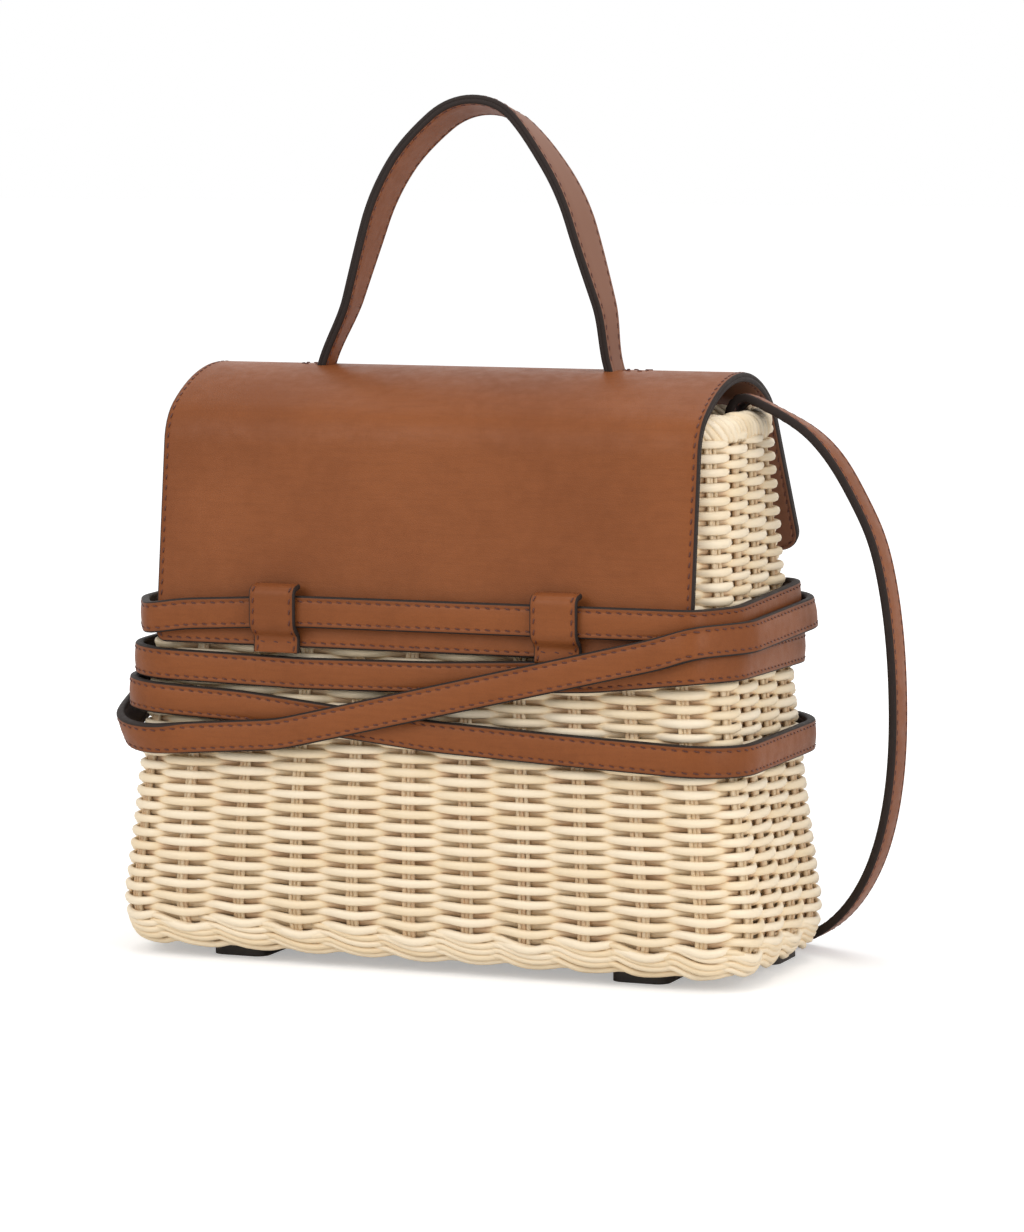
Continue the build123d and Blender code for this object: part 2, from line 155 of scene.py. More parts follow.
class HandleSizes(bpy.types.PropertyGroup):
    """The carrying handle."""

    top: size("Top", "Floor to the top of the handle", 0.397)
    crown_radius: size("Crown Radius", "Bend of the crown", 0.032)
    shoulder_radius: size("Shoulder Radius", "Bend of the shoulders", 0.110)
    crown_turn: angle("Crown Turn", "Turn from the top to the shoulders", 42.0)
    splay: angle("Splay", "How far the legs stand off upright", 17.0)
    crown_tilt: angle("Crown Tilt", "How far the crown tips back", 13.0)
    width: size("Width", "Width at the crown", 0.025)
    base_width: size("Base Width", "Width at the flap", 0.014)
    full_height: size("Full Height", "The width is full from here up", 0.345)
    shift: size("Shift", "Behind the middle of the bag", 0.002)
    leg_twist: angle("Leg Twist", "How far the right leg turns to the front", 7.0)
    tab_bend: size("Tab Bend", "Bend into the sewn ends", 0.005)
    tab_length: size("Tab Length", "Length of the sewn ends", 0.024)


class SeamSizes(bpy.types.PropertyGroup):
    """Stitches and edges of the leather."""

    stitch_pitch: size("Stitch Pitch", "From one stitch to the next", 0.0048)
    slant: angle("Slant", "How far a stitch turns from its row", 13.0)
    stitch_length: size("Stitch Length", "Length of one stitch", 0.0032)
    thread: size("Thread", "Thickness of the thread", 0.0007)
    inset: size("Inset", "From the edge to the stitches", 0.0023)
    edge_round: size("Edge Round", "Rounding of a painted edge", 0.0012)
    groove: size("Groove", "Depth of the stitched line", 0.00028)
    lace: size("Lace", "Thickness of the flap's lacing", 0.0026)
    lace_place: size("Lace Place", "Lacing to the middle of the bag", 0.062)


class BagColours(bpy.types.PropertyGroup):
    """Colours of the finishes."""

    cane: colour("Cane", "Peeled cane", (0.86, 0.68, 0.44))
    cane_pale: colour("Pale Cane", "Lightest canes", (0.94, 0.80, 0.60))
    cane_tan: colour("Tan Cane", "Darkest canes and stakes", (0.74, 0.51, 0.31))
    # Painted shade: the darkest cane colour, given to canes where they lie far back in the weave and to
    # the hidden core rings.
    cane_shade: colour("Deep Cane", "Canes far back in the weave", (0.34, 0.20, 0.105))
    leather: colour("Leather", "Outer leather", (0.255, 0.079, 0.0235))
    leather_dark: colour("Dark Leather", "Darker clouds of the outer leather", (0.205, 0.061, 0.0175))
    # The inner leather's own brown, darkened further as painted shade for the inside of the flap's
    # fold.
    lining: colour("Lining", "Inner leather", (0.100, 0.038, 0.018))
    back: colour("Back", "Back of the straps", (0.050, 0.034, 0.032))
    edge: colour("Edge", "Painted edges", (0.020, 0.014, 0.012))
    thread: colour("Thread", "Stitching", (0.105, 0.022, 0.010))
    foot: colour("Feet", "Leather of the feet", (0.022, 0.017, 0.015))
    floor: colour("Floor", "Floor of the stage", (0.84, 0.84, 0.84))


GROUPS = {
    "tote_basket": BasketSizes,
    "tote_weave": WeaveSizes,
    "tote_flap": FlapSizes,
    "tote_strap": StrapSizes,
    "tote_handle": HandleSizes,
    "tote_seam": SeamSizes,
    "tote_colour": BagColours,
}


def settings(name):
    """One group of the scene's settings."""
    return getattr(bpy.context.scene, name)


# Lines and surfaces


def trace(start, heading, runs, distance):
    """Positions and headings at distances along a plane line made of runs.

    Each run is a length and the angle it turns through evenly: none for a straight, or
    an arc of radius length over angle. Lengths may be arrays."""
    x = start[0] + np.zeros_like(distance)
    y = start[1] + np.zeros_like(distance)
    facing = heading + np.zeros_like(distance)
    done = 0.0
    for length, turn in runs:
        along = np.clip(distance - done, 0.0, length)
        if turn:
            radius = length / turn
            swept = turn * along / length
            x = x + radius * (np.sin(heading + swept) - math.sin(heading))
            y = y + radius * (math.cos(heading) - np.cos(heading + swept))
            facing = facing + swept
        else:
            x = x + along * math.cos(heading)
            y = y + along * math.sin(heading)
        heading += turn
        done = done + length
    return x, y, facing


def ease(value):
    """A smooth step from 0 to 1."""
    t = np.clip(value, 0.0, 1.0)
    return t * t * (3.0 - 2.0 * t)


def unit(vectors):
    """Vectors of length one."""
    return vectors / np.linalg.norm(vectors, axis=-1, keepdims=True)


def half_sizes(height):
    """Half the basket's length and depth at heights.

    Above the belly both shrink with a power of the rise; below it they draw in on a
    quarter ellipse."""
    b = settings("tote_basket")
    rise = np.clip((height - b.belly_height) / (b.rim_height - b.belly_height), 0.0, 1.0)
    drop = np.clip((b.belly_height - height) / (b.belly_height - b.foot_height), 0.0, 1.0)
    tuck = b.base_tuck * (1.0 - np.sqrt(1.0 - drop * drop))
    length = b.rim_length / 2 + (b.belly_length - b.rim_length) / 2 * (1.0 - rise) ** 1.9 - tuck
    depth = b.belly_depth / 2 - (b.belly_depth - b.rim_depth) / 2 * rise ** 2.6 - tuck
    return length, depth


def around(turn, height, inset):
    """Points round the basket and the outward directions there.

    turn counts trips round from the middle of the front towards the right end, along a
    rectangle with round corners, and inset moves the points inwards."""
    radius = settings("tote_basket").corner_radius
    length, depth = half_sizes(height)
    bend = (radius * QUARTER, QUARTER)
    along = (2 * (length - radius), 0.0)
    across = (2 * (depth - radius), 0.0)
    half = (length - radius, 0.0)
    runs = [half, bend, across, bend, along, bend, across, bend, half]
    total = sum(run[0] for run in runs)
    x, y, heading = trace((0.0, -depth), 0.0, runs, (turn % 1.0) * total)
    out = np.stack([np.sin(heading), -np.cos(heading), np.zeros_like(heading)], axis=-1)
    place = np.stack([x, y, height + np.zeros_like(x)], axis=-1)
    return place - out * (inset + np.zeros_like(x))[..., None], out


def upright_canes(centre, deep, tall, closed, tone):
    """Canes along their paths, as deep as given level with the floor and as tall across it."""
    tangent = frame_of(centre, closed)
    side = unit(np.cross(UP, tangent))
    return tubes(
        centre, side * deep[..., None], np.cross(tangent, side) * tall[..., None], CANE_SIDES,
        closed, tone,
    )


def drift(turn, seed, rows):
    """Slow random waves round each row, a sum of three sines with random phases."""
    chance = np.random.default_rng(seed)
    waves = np.zeros((rows, turn.shape[-1]))
    for count in (2, 5, 11):
        phase = chance.uniform(0.0, 2 * math.pi, (rows, 1))
        waves += np.sin(2 * math.pi * count * turn + phase) / count ** 0.5
    return waves / 2.0


# Meshes


class Patch:
    """Quads of one surface: points, faces, finish of each face, corner UVs and a point value."""

    def __init__(self, points, faces, finish, uv, value):
        self.points = points.reshape(-1, 3)
        self.faces = faces.reshape(-1, 4)
        self.finish = np.broadcast_to(finish, len(self.faces))
        self.uv = uv.reshape(-1, 4, 2)
        self.value = np.broadcast_to(value, len(self.points))


def joined(patches):
    """Several patches as one."""
    starts = np.cumsum([0] + [len(p.points) for p in patches[:-1]])
    return Patch(
        np.concatenate([p.points for p in patches]),
        np.concatenate([p.faces + start for p, start in zip(patches, starts)]),
        np.concatenate([p.finish for p in patches]),
        np.concatenate([p.uv for p in patches]),
        np.concatenate([p.value for p in patches]),
    )


def make_piece(name, patch, materials, nodes=()):
    """Puts a patch into a mesh object that rides on the bag and takes the given materials."""
    corners = patch.points[patch.faces]
    normal = np.cross(corners[:, 1] - corners[:, 0], corners[:, 2] - corners[:, 0])
    normal += np.cross(corners[:, 2] - corners[:, 0], corners[:, 3] - corners[:, 0])
    inside_out = np.einsum("ij,ij->", corners.mean(axis=1) - corners.mean(axis=(0, 1)), normal) < 0
    faces = patch.faces[:, ::-1] if inside_out else patch.faces
    uv = patch.uv[:, ::-1] if inside_out else patch.uv
    mesh = bpy.data.meshes.new(name)
    mesh.vertices.add(len(patch.points))
    mesh.vertices.foreach_set("co", patch.points.astype(np.float32).ravel())
    mesh.loops.add(faces.size)
    mesh.loops.foreach_set("vertex_index", faces.astype(np.int32).ravel())
    mesh.polygons.add(len(faces))
    mesh.polygons.foreach_set("loop_start", np.arange(0, faces.size, 4, dtype=np.int32))
    mesh.polygons.foreach_set("material_index", patch.finish.astype(np.int32))
    mesh.polygons.foreach_set("use_smooth", np.ones(len(faces), dtype=bool))
    layer = mesh.uv_layers.new(name="UVMap")
    layer.data.foreach_set("uv", uv.astype(np.float32).ravel())
    attribute = mesh.attributes.new("value", "FLOAT", "POINT")
    attribute.data.foreach_set("value", patch.value.astype(np.float32))
    mesh.update(calc_edges=True)
    mesh.validate()
    for material in materials:
        mesh.materials.append(material)
    piece = bpy.data.objects.new(name, mesh)
    bpy.context.scene.collection.objects.link(piece)
    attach(piece, "root")
    if nodes:
        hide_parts(*nodes)
    return piece


def tubes(centre, first, second, sides, closed, value):
    """Round canes, each an ellipse carried along its own path.

    centre, first and second have the shape canes, stations, 3: the middle and the two
    half axes of each ellipse. value is one number for each cane, or one for each station."""
    canes, stations = centre.shape[:2]
    turn = np.arange(sides) * (2 * math.pi / sides)
    ring = (
        centre[:, :, None]
        + first[:, :, None] * np.cos(turn)[:, None]
        + second[:, :, None] * np.sin(turn)[:, None]
    )
    index = np.arange(canes * stations * sides).reshape(canes, stations, sides)
    beside = np.roll(index, -1, axis=2)
    ahead = np.roll(index, -1, axis=1)
    ahead_beside = np.roll(beside, -1, axis=1)
    faces = np.stack([index, beside, ahead_beside, ahead], axis=-1)
    step = np.linalg.norm(np.roll(centre, -1, axis=1) - centre, axis=-1)
    run = np.concatenate([np.zeros((canes, 1)), np.cumsum(step, axis=1)], axis=1)
    low = np.broadcast_to(run[:, :-1, None], index.shape)
    high = np.broadcast_to(run[:, 1:, None], index.shape)
    left = np.broadcast_to(np.arange(sides) / sides, index.shape)
    right = left + 1.0 / sides
    uv = np.stack([
        np.stack([low, left], -1), np.stack([low, right], -1),
        np.stack([high, right], -1), np.stack([high, left], -1),
    ], axis=3)
    if closed:
        lids = []
    else:
        faces = faces[:, :-1]
        uv = uv[:, :-1]
        rungs = np.arange(sides // 2 - 1)
        ladder = np.stack([rungs, rungs + 1, sides - 2 - rungs, sides - 1 - rungs], axis=-1)
        lids = [index[:, 0][:, ladder[:, ::-1]], index[:, -1][:, ladder]]
    every = [faces.reshape(-1, 4)] + [lid.reshape(-1, 4) for lid in lids]
    spare = sum(len(f) for f in every[1:])
    every_uv = np.concatenate([uv.reshape(-1, 4, 2), np.zeros((spare, 4, 2))])
    values = np.broadcast_to(np.asarray(value, dtype=float).reshape(canes, -1, 1), index.shape)
    return Patch(ring, np.concatenate(every), 0, every_uv, values.reshape(-1))


def frame_of(centre, closed=False):
    """Unit tangents of paths of the shape canes, stations, 3."""
    if closed:
        return unit(np.roll(centre, -1, axis=1) - np.roll(centre, 1, axis=1))
    return unit(np.gradient(centre, axis=1))


def lines_across(half, fine, middle, most):
    """Lines across a sheet, close together near both edges and even between.

    half is the half width at each station; fine holds the distances from the edge."""
    inner = np.linspace(-1.0, 1.0, middle + 2)[1:-1]
    share = np.minimum(1.0, half[:, None] / most)
    left = -half[:, None] + fine * share
    right = half[:, None] - fine[::-1] * share
    core = (half[:, None] - fine[-1] * share) * inner
    return np.concatenate([left, core, right], axis=1)


def sheet_faces(rows, columns, offset):
    """Quads of a grid of points, counted from offset."""
    index = offset + np.arange(rows * columns).reshape(rows, columns)
    return np.stack([index[:-1, :-1], index[1:, :-1], index[1:, 1:], index[:-1, 1:]], axis=-1)


def leather_shell(place, along, across, edge, upper, lower):
    """A closed leather: an upper and a lower face over one grid, joined round the edge.

    place turns distance along, distance across and depth into points. edge is how far
    each grid point lies from the leather's edge; upper and lower are the two depths."""
    rows, columns = across.shape
    grid = np.broadcast_to(along[:, None], across.shape)
    top = place(grid, across, upper)
    bottom = place(grid, across, lower)
    top_faces = sheet_faces(rows, columns, 0)
    bottom_faces = sheet_faces(rows, columns, rows * columns)[..., ::-1]
    index = np.arange(rows * columns).reshape(rows, columns)
    rim = np.concatenate([index[0, :-1], index[:-1, -1], index[-1, :0:-1], index[:0:-1, 0]])
    after = np.roll(rim, -1)
    below = rows * columns
    wall = np.stack([rim, after, after + below, rim + below], axis=-1)
    flat = np.stack([grid, across], axis=-1).reshape(-1, 2)
    near = (edge[:-1, :-1] + edge[1:, 1:]) / 2 < settings("tote_seam").edge_round * 0.5
    faces = np.concatenate([top_faces.reshape(-1, 4), bottom_faces.reshape(-1, 4), wall])
    finish = np.concatenate([
        np.where(near, 2, 0).ravel(), np.where(near, 2, 1).ravel(), np.full(len(wall), 2),
    ])
    return Patch(
        np.concatenate([top.reshape(-1, 3), bottom.reshape(-1, 3)]), faces, finish,
        np.concatenate([flat, flat])[faces], np.concatenate([edge.ravel(), edge.ravel()]),
    )


def worked(edge, crown=0.0, half=1.0):
    """How deep a leather's face lies below its flat level.

    It rounds off on a quarter circle at the edge, sinks in a narrow groove at the
    stitches, and a crown lifts the middle."""
    seam = settings("tote_seam")
    short = np.clip(seam.edge_round - edge, 0.0, seam.edge_round)
    round_off = seam.edge_round - np.sqrt(seam.edge_round ** 2 - short ** 2)
    groove = seam.groove * np.exp(-(((edge - seam.inset) / (0.55 * MM)) ** 2))
    lift = crown * ease((edge - seam.inset) / (half - seam.inset))
    return round_off + groove - lift


def stitches(points, tangent, out):
    """Stitches as short bowed tubes, one for each point, slanting a little from the tangent."""
    seam = settings("tote_seam")
    along = np.array([-0.5, -0.28, 0.28, 0.5]) * seam.stitch_length
    rise = np.array([-0.5, 0.22, 0.22, -0.5]) * seam.thread
    thick = np.array([0.45, 1.0, 1.0, 0.45]) * seam.thread / 2
    straight = unit(np.cross(tangent, out))
    tangent = tangent * math.cos(seam.slant) + straight * math.sin(seam.slant)
    side = unit(np.cross(tangent, out))
    centre = (
        points[:, None] + tangent[:, None] * along[:, None] + out[:, None] * rise[:, None]
    )
    first = side[:, None] * thick[:, None]
    second = out[:, None] * thick[:, None]
    return tubes(centre, first, second, 6, False, np.zeros(len(points)))


class Route:
    """A strap's middle line: distances, places, the direction across it and out of its face."""

    def __init__(self, places, across, out):
        self.places = places
        self.across = across
        self.out = out
        steps = np.linalg.norm(np.diff(places, axis=0), axis=1)
        self.run = np.concatenate([[0.0], np.cumsum(steps)])

    def at(self, table, distance):
        """A table's value at distances along the route."""
        return np.stack([np.interp(distance, self.run, table[:, k]) for k in range(3)], axis=-1)

    def half(self, width, distance):
        """Half the width at distances; width is one number or one for each station."""
        return np.interp(distance, self.run, width + np.zeros_like(self.run)) / 2

    def place(self, distance, across, depth):
        """Points at distances along, across, and below the route's own level."""
        side = unit(self.at(self.across, distance))
        out = unit(self.at(self.out, distance))
        return self.at(self.places, distance) + side * across[..., None] - out * depth[..., None]


def along_line(points, hint):
    """A route through points whose width lies as near to a hint as the line allows."""
    tangent = unit(np.gradient(points, axis=0))
    side = unit(hint - tangent * np.einsum("ij,ij->i", hint, tangent)[:, None])
    return Route(points, side, np.cross(tangent, side))


def evenly(points, step):
    """Rows of numbers, the first three being places, resampled at even steps."""
    steps = np.linalg.norm(np.diff(points[:, :3], axis=0), axis=1)
    run = np.concatenate([[0.0], np.cumsum(steps)])
    where = np.linspace(0.0, run[-1], max(8, int(run[-1] / step)))
    return np.stack([np.interp(where, run, points[:, k]) for k in range(points.shape[1])], axis=-1)


def softened(points, reach):
    """A polyline with even steps, averaged over a reach of neighbours on each side."""
    weights = np.hanning(2 * reach + 3)[1:-1]
    weights /= weights.sum()
    padded = np.concatenate([
        2 * points[0] - points[reach:0:-1], points, 2 * points[-1] - points[-2:-reach - 2:-1],
    ])
    return np.stack(
        [np.convolve(padded[:, k], weights, mode="valid") for k in range(points.shape[1])], axis=-1
    )


def smooth_through(knots, step):
    """A natural cubic through rows of numbers, its first three columns being places."""
    chord = np.concatenate([[0.0], np.cumsum(np.linalg.norm(np.diff(knots[:, :3], axis=0), axis=1))])
    width = np.diff(chord)
    count = len(knots)
    system = np.eye(count)
    inner = np.arange(1, count - 1)
    system[inner, inner - 1] = width[:-1]
    system[inner, inner] = 2 * (width[:-1] + width[1:])
    system[inner, inner + 1] = width[1:]
    slope = np.diff(knots, axis=0) / width[:, None]
    right = np.zeros_like(knots)
    right[1:-1] = 6 * np.diff(slope, axis=0)
    curve = np.linalg.solve(system, right)
    where = np.linspace(0.0, chord[-1], int(chord[-1] / step))
    k = np.clip(np.searchsorted(chord, where, side="right") - 1, 0, count - 2)
    t = (where - chord[k])[:, None]
    h = width[k][:, None]
    return (
        curve[k] * (h - t) ** 3 / (6 * h) + curve[k + 1] * t ** 3 / (6 * h)
        + (knots[k] / h - curve[k] * h / 6) * (h - t) + (knots[k + 1] / h - curve[k + 1] * h / 6) * t
    )


# Distances from a leather's edge where its grid is fine, and the rise of a strap's middle.
FINE = np.array([0.0, 0.15, 0.4, 0.75, 1.2, 1.7, 2.05, 2.3, 2.55, 2.9, 3.5]) * MM
STRAP_CROWN = 0.3 * MM


def band(route, width, upper, lower, step, faces, crown=0.0):
    """A strap along a route, between two levels about its middle.

    width is one number or one for each station. faces says which face has round edges
    and a groove for the stitches: upper, lower or both."""
    length = route.run[-1]
    along = np.linspace(0.0, length, max(4, int(length / step)))
    half = route.half(width, along)
    across = lines_across(half, FINE, 3, FINE[-1] * 1.35)
    edge = half[:, None] - np.abs(across)
    deep = worked(edge, crown, half.max())
    top = np.full_like(edge, -upper)
    bottom = np.full_like(edge, -lower)
    if faces != "lower":
        top = top + deep
    if faces != "upper":
        bottom = bottom - deep
    return leather_shell(route.place, along, across, edge, top, bottom)


def seam_along(route, width, level, start, end):
    """Rows of stitches along both edges of a strap at a level of its face."""
    seam = settings("tote_seam")
    rows = []
    where = np.arange(start, route.run[-1] - end, seam.stitch_pitch)
    half = route.half(width, where)
    ahead = where + 0.5 * MM
    sign = 1.0 if level > 0 else -1.0
    for side in (-1.0, 1.0):
        across = side * (half - seam.inset)
        depth = np.full(len(where), -level + sign * seam.groove)
        points = route.place(where, across, depth)
        tangent = unit(route.place(ahead, across, depth) - points)
        out = unit(route.at(route.out, where)) * sign
        rows.append(stitches(points, tangent, out))
    return joined(rows)


def seam_across(route, width, level, distance):
    """A row of stitches across a strap at a distance along it."""
    seam = settings("tote_seam")
    reach = width / 2 - seam.inset - seam.stitch_pitch / 2
    across = np.linspace(-reach, reach, int(2 * reach / seam.stitch_pitch) + 1)
    where = np.full(len(across), distance)
    depth = np.full(len(across), seam.groove - level)
    points = route.place(where, across, depth)
    tangent = unit(route.at(route.across, where))
    return stitches(points, tangent, unit(route.at(route.out, where)))


# Materials


def new_material(name):
    """A node material, its node tree and its main shader."""
    material = bpy.data.materials.new(name)
    material.use_nodes = True
    tree = material.node_tree
    shader = next(n for n in tree.nodes if n.type == "BSDF_PRINCIPLED")
    return material, tree, shader


def fill(tree, socket, value):
    """Links another node's output into an input, or sets a plain value on it."""
    if isinstance(value, bpy.types.NodeSocket):
        tree.links.new(value, socket)
    else:
        socket.default_value = value


def feed(tree, node, **inputs):
    """Fills a node's inputs, named with underscores for spaces."""
    for key, value in inputs.items():
        fill(tree, node.inputs[key.replace("_", " ")], value)


def add(tree, kind, settings=None, **inputs):
    """A node with its settings and the values of its named inputs."""
    node = tree.nodes.new(kind)
    for key, value in (settings or {}).items():
        setattr(node, key, value)
    feed(tree, node, **inputs)
    return node


def object_place(tree):
    """Coordinates of the object, in metres."""
    return add(tree, "ShaderNodeTexCoord").outputs["Object"]


def stretched(tree, source, **inputs):
    """Coordinates scaled or turned."""
    return add(tree, "ShaderNodeMapping", Vector=source, **inputs).outputs["Vector"]


def own_value(tree):
    """The value that each point of a mesh carries."""
    return add(tree, "ShaderNodeAttribute", {"attribute_name": "value"}).outputs["Fac"]


def noise(tree, source, scale, detail, roughness=0.5):
    """Fractal noise on a coordinate."""
    return add(
        tree, "ShaderNodeTexNoise", Vector=source, Scale=scale, Detail=detail, Roughness=roughness
    ).outputs["Fac"]


def maths(tree, operation, first, second, clamp=False):
    """One sum on sockets or numbers."""
    node = add(tree, "ShaderNodeMath", {"operation": operation, "use_clamp": clamp})
    fill(tree, node.inputs[0], first)
    fill(tree, node.inputs[1], second)
    return node.outputs[0]


def weighted(tree, *terms):
    """The sum of values, each times its weight."""
    total = None
    for value, weight in terms:
        part = value if weight == 1.0 else maths(tree, "MULTIPLY", value, weight)
        total = part if total is None else maths(tree, "ADD", total, part)
    return total


def mapped(tree, value, low, high, to_low, to_high):
    """A value carried smoothly from one range to another."""
    return add(
        tree, "ShaderNodeMapRange", {"interpolation_type": "SMOOTHSTEP"}, Value=value,
        From_Min=low, From_Max=high, To_Min=to_low, To_Max=to_high,
    ).outputs["Result"]


def ramp(tree, value, stops):
    """A colour ramp with stops of position and colour."""
    node = tree.nodes.new("ShaderNodeValToRGB")
    elements = node.color_ramp.elements
    while len(elements) < len(stops):
        elements.new(0.5)
    for element, (position, colour_of) in zip(elements, stops):
        element.position = position
        element.color = colour_of
    tree.links.new(value, node.inputs["Fac"])
    return node.outputs["Color"]


def blend(tree, share, first, second):
    """Two colours mixed by a share."""
    node = add(tree, "ShaderNodeMix", {"data_type": "RGBA"})
    for number, value in ((0, share), (6, first), (7, second)):
        fill(tree, node.inputs[number], value)
    return node.outputs[2]


def relief(tree, shader, height, distance, strength):
    """Bump from a height, into the shader's normal."""
    node = add(tree, "ShaderNodeBump", Strength=strength, Distance=distance, Height=height)
    tree.links.new(node.outputs["Normal"], shader.inputs["Normal"])


def chosen(tree, share, first, second):
    """The second shader where a share is one, and the first where it is none."""
    node = add(tree, "ShaderNodeMixShader")
    for socket, output in zip(node.inputs, (share, first, second)):
        tree.links.new(output, socket)
    return node.outputs[0]


def shade(colour_of, factor):
    """A colour made darker or lighter."""
    return tuple(min(1.0, c * factor) for c in colour_of[:3]) + (1.0,)


def cane_material(name, lift):
    """Peeled cane: a tone for each cane, long fibres from its UV and pale and tan clouds."""
    c = settings("tote_colour")
    material, tree, shader = new_material(name)
    uv = add(tree, "ShaderNodeUVMap", {"uv_map": "UVMap"}).outputs["UV"]
    fibres = noise(tree, stretched(tree, uv, Scale=(26.0, 9.0, 1.0)), 1.6, 4.0, 0.6)
    clouds = noise(tree, object_place(tree), 38.0, 3.0)
    mixed = weighted(tree, (own_value(tree), 1.0), (clouds, 0.45), (fibres, 0.35))
    position = mapped(tree, mixed, -0.3 - lift, 1.5 - lift, 0.0, 1.0)
    # The first stop is painted shade, reached where a cane's value was lowered for lying far back in
    # the weave.
    stops = [(0.0, c.cane_shade), (0.16, c.cane_tan), (0.50, c.cane), (1.0, c.cane_pale)]
    feed(
        tree, shader, Base_Color=ramp(tree, position, stops),
        Roughness=mapped(tree, fibres, 0.3, 0.7, 0.34, 0.52),
    )
    relief(tree, shader, fibres, 0.16 * MM, 0.8)


def leather_material(name, base, dark, roughness, grain):
    """Smooth hide: clouds of two browns, faint streaks along it, fine pores, darker at the edge."""
    material, tree, shader = new_material(name)
    place = object_place(tree)
    clouds = noise(tree, place, 11.0, 4.0, 0.55)
    mottle = noise(tree, place, 160.0, 3.0, 0.6)
    pores = noise(tree, place, 1500.0, 2.0, 0.5)
    share = weighted(tree, (clouds, 0.8), (mottle, 0.2))
    body = blend(tree, mapped(tree, share, 0.36, 0.66, 0.0, 1.0), base, dark)
    burnish = mapped(tree, own_value(tree), 0.4 * MM, 2.6 * MM, 0.45, 0.0)
    body = blend(tree, burnish, body, shade(dark, 0.55))
    body = blend(tree, mapped(tree, pores, 0.62, 0.8, 0.0, 0.35), body, shade(dark, 0.6))
    streaks = noise(tree, stretched(tree, place, Scale=(0.10, 1.0, 1.0)), 620.0, 3.0, 0.55)
    body = blend(tree, mapped(tree, streaks, 0.40, 0.68, 0.0, 0.14), body, shade(dark, 0.72))
    sheen = weighted(tree, (mottle, 0.6), (clouds, 0.4))
    feed(
        tree, shader, Base_Color=body, Specular_IOR_Level=0.16,
        Roughness=mapped(tree, sheen, 0.3, 0.7, roughness - 0.07, roughness + 0.08),
    )
    cells = add(
        tree, "ShaderNodeTexVoronoi", {"feature": "DISTANCE_TO_EDGE"}, Vector=place, Scale=1100.0
    )
    pebble = mapped(tree, cells.outputs["Distance"], 0.0, 0.28, 0.0, 1.0)
    relief(tree, shader, weighted(tree, (pebble, 1.0), (mottle, 1.4)), 0.06 * MM, grain)


def paint_material():
    """Edge paint: near black, satin, faintly uneven."""
    c = settings("tote_colour")
    material, tree, shader = new_material("edge_paint")
    uneven = noise(tree, object_place(tree), 420.0, 3.0)
    feed(
        tree, shader, Base_Color=blend(tree, uneven, c.edge, shade(c.edge, 1.7)),
        Roughness=mapped(tree, uneven, 0.3, 0.7, 0.52, 0.64), Specular_IOR_Level=0.15,
    )
    relief(tree, shader, uneven, 0.08 * MM, 0.5)


def thread_material():
    """Waxed thread: two strands that twist round each other, from the UV."""
    c = settings("tote_colour")
    material, tree, shader = new_material("waxed_thread")
    uv = add(tree, "ShaderNodeUVMap", {"uv_map": "UVMap"}).outputs["UV"]
    turned = stretched(tree, uv, Scale=(900.0, 1.0, 1.0), Rotation=(0.0, 0.0, 0.9))
    wave = add(tree, "ShaderNodeTexWave", {"wave_type": "BANDS"}, Vector=turned, Scale=0.35)
    twist = wave.outputs["Fac"]
    feed(
        tree, shader, Base_Color=blend(tree, twist, shade(c.thread, 0.6), c.thread), Roughness=0.5
    )
    relief(tree, shader, twist, 0.1 * MM, 0.7)


def finishes():
    """The bag's materials, made once."""
    made = {m.name: m for m in bpy.data.materials}
    if "edge_paint" in made:
        return made
    c = settings("tote_colour")
    cane_material("peeled_cane", 0.0)
    cane_material("stake_cane", -0.22)
    leather_material("saddle_leather", c.leather, c.leather_dark, 0.42, 0.45)
    # The lining colour is partly the inner leather's own brown and partly painted shade for the inside
    # of the flap.
    leather_material("lining_leather", c.lining, shade(c.lining, 0.75), 0.55, 0.8)
    leather_material("strap_back", c.back, shade(c.back, 0.7), 0.6, 0.9)
    leather_material("foot_leather", c.foot, shade(c.foot, 0.7), 0.5, 0.9)
    paint_material()
    thread_material()
    return {m.name: m for m in bpy.data.materials}


def leathers(back="lining_leather"):
    """Face, back and edge of a leather piece."""
    made = finishes()
    return [made["saddle_leather"], made[back], made["edge_paint"]]


# The basket


def weave_rows(first, last, name, nodes):
    """Rows of cane that pass outside one stake and inside the next, turn about.

    Each cane's middle follows the basket's outline; a flattened cosine over two stakes swings
    it out and in, and near the foot a second cosine dips it at each stake. Where a cane is
    far back its colour is darker: painted shade in the hollows of the weave."""
    w = settings("tote_weave")
    b = settings("tote_basket")
    count = w.stakes * 8
    turn = np.arange(count)[None] / count
    row = np.arange(first, last)[:, None]
    stake = turn * w.stakes + w.stake_shift
    wave = np.cos(math.pi * (stake + row))
    over = np.sign(wave) * np.abs(wave) ** 0.8
    rows = last - first
    low = b.foot_height + b.border_height
    height = low + (row + 0.5) * w.row_pitch + 0.2 * MM * drift(turn, 11 + first, rows)
    fading = np.exp(-(height - low) / (12 * MM))
    dip = w.foot_dip * fading * (0.5 + 0.5 * np.cos(2 * math.pi * (stake - 0.12)))
    swing = w.swing * (1.0 + 0.07 * drift(turn, 31 + first, rows))
    centre = around(turn + 0.0 * row, height, w.middle - over * swing)[0]
    centre[..., 2] -= dip
    chance = np.random.default_rng(71 + first)
    stout = 1.0 + 0.045 * chance.standard_normal((rows, 1)) + 0.03 * drift(turn, 51 + first, rows)
    tall = w.cane_height / 2 * (0.90 + 0.10 * wave ** 2) * stout
    deep = w.cane_depth / 2 * stout
    # Each cane's tone differs at random, and is lowered where the cane lies far back, which paints
    # shade into the hollows of the weave.
    tone = chance.uniform(0.30, 0.90, (rows, 1)) - 0.62 * ease(0.35 - 1.1 * wave)
    patch = upright_canes(centre, deep, tall, True, tone)
    return make_piece(name, patch, [finishes()["peeled_cane"]], nodes)


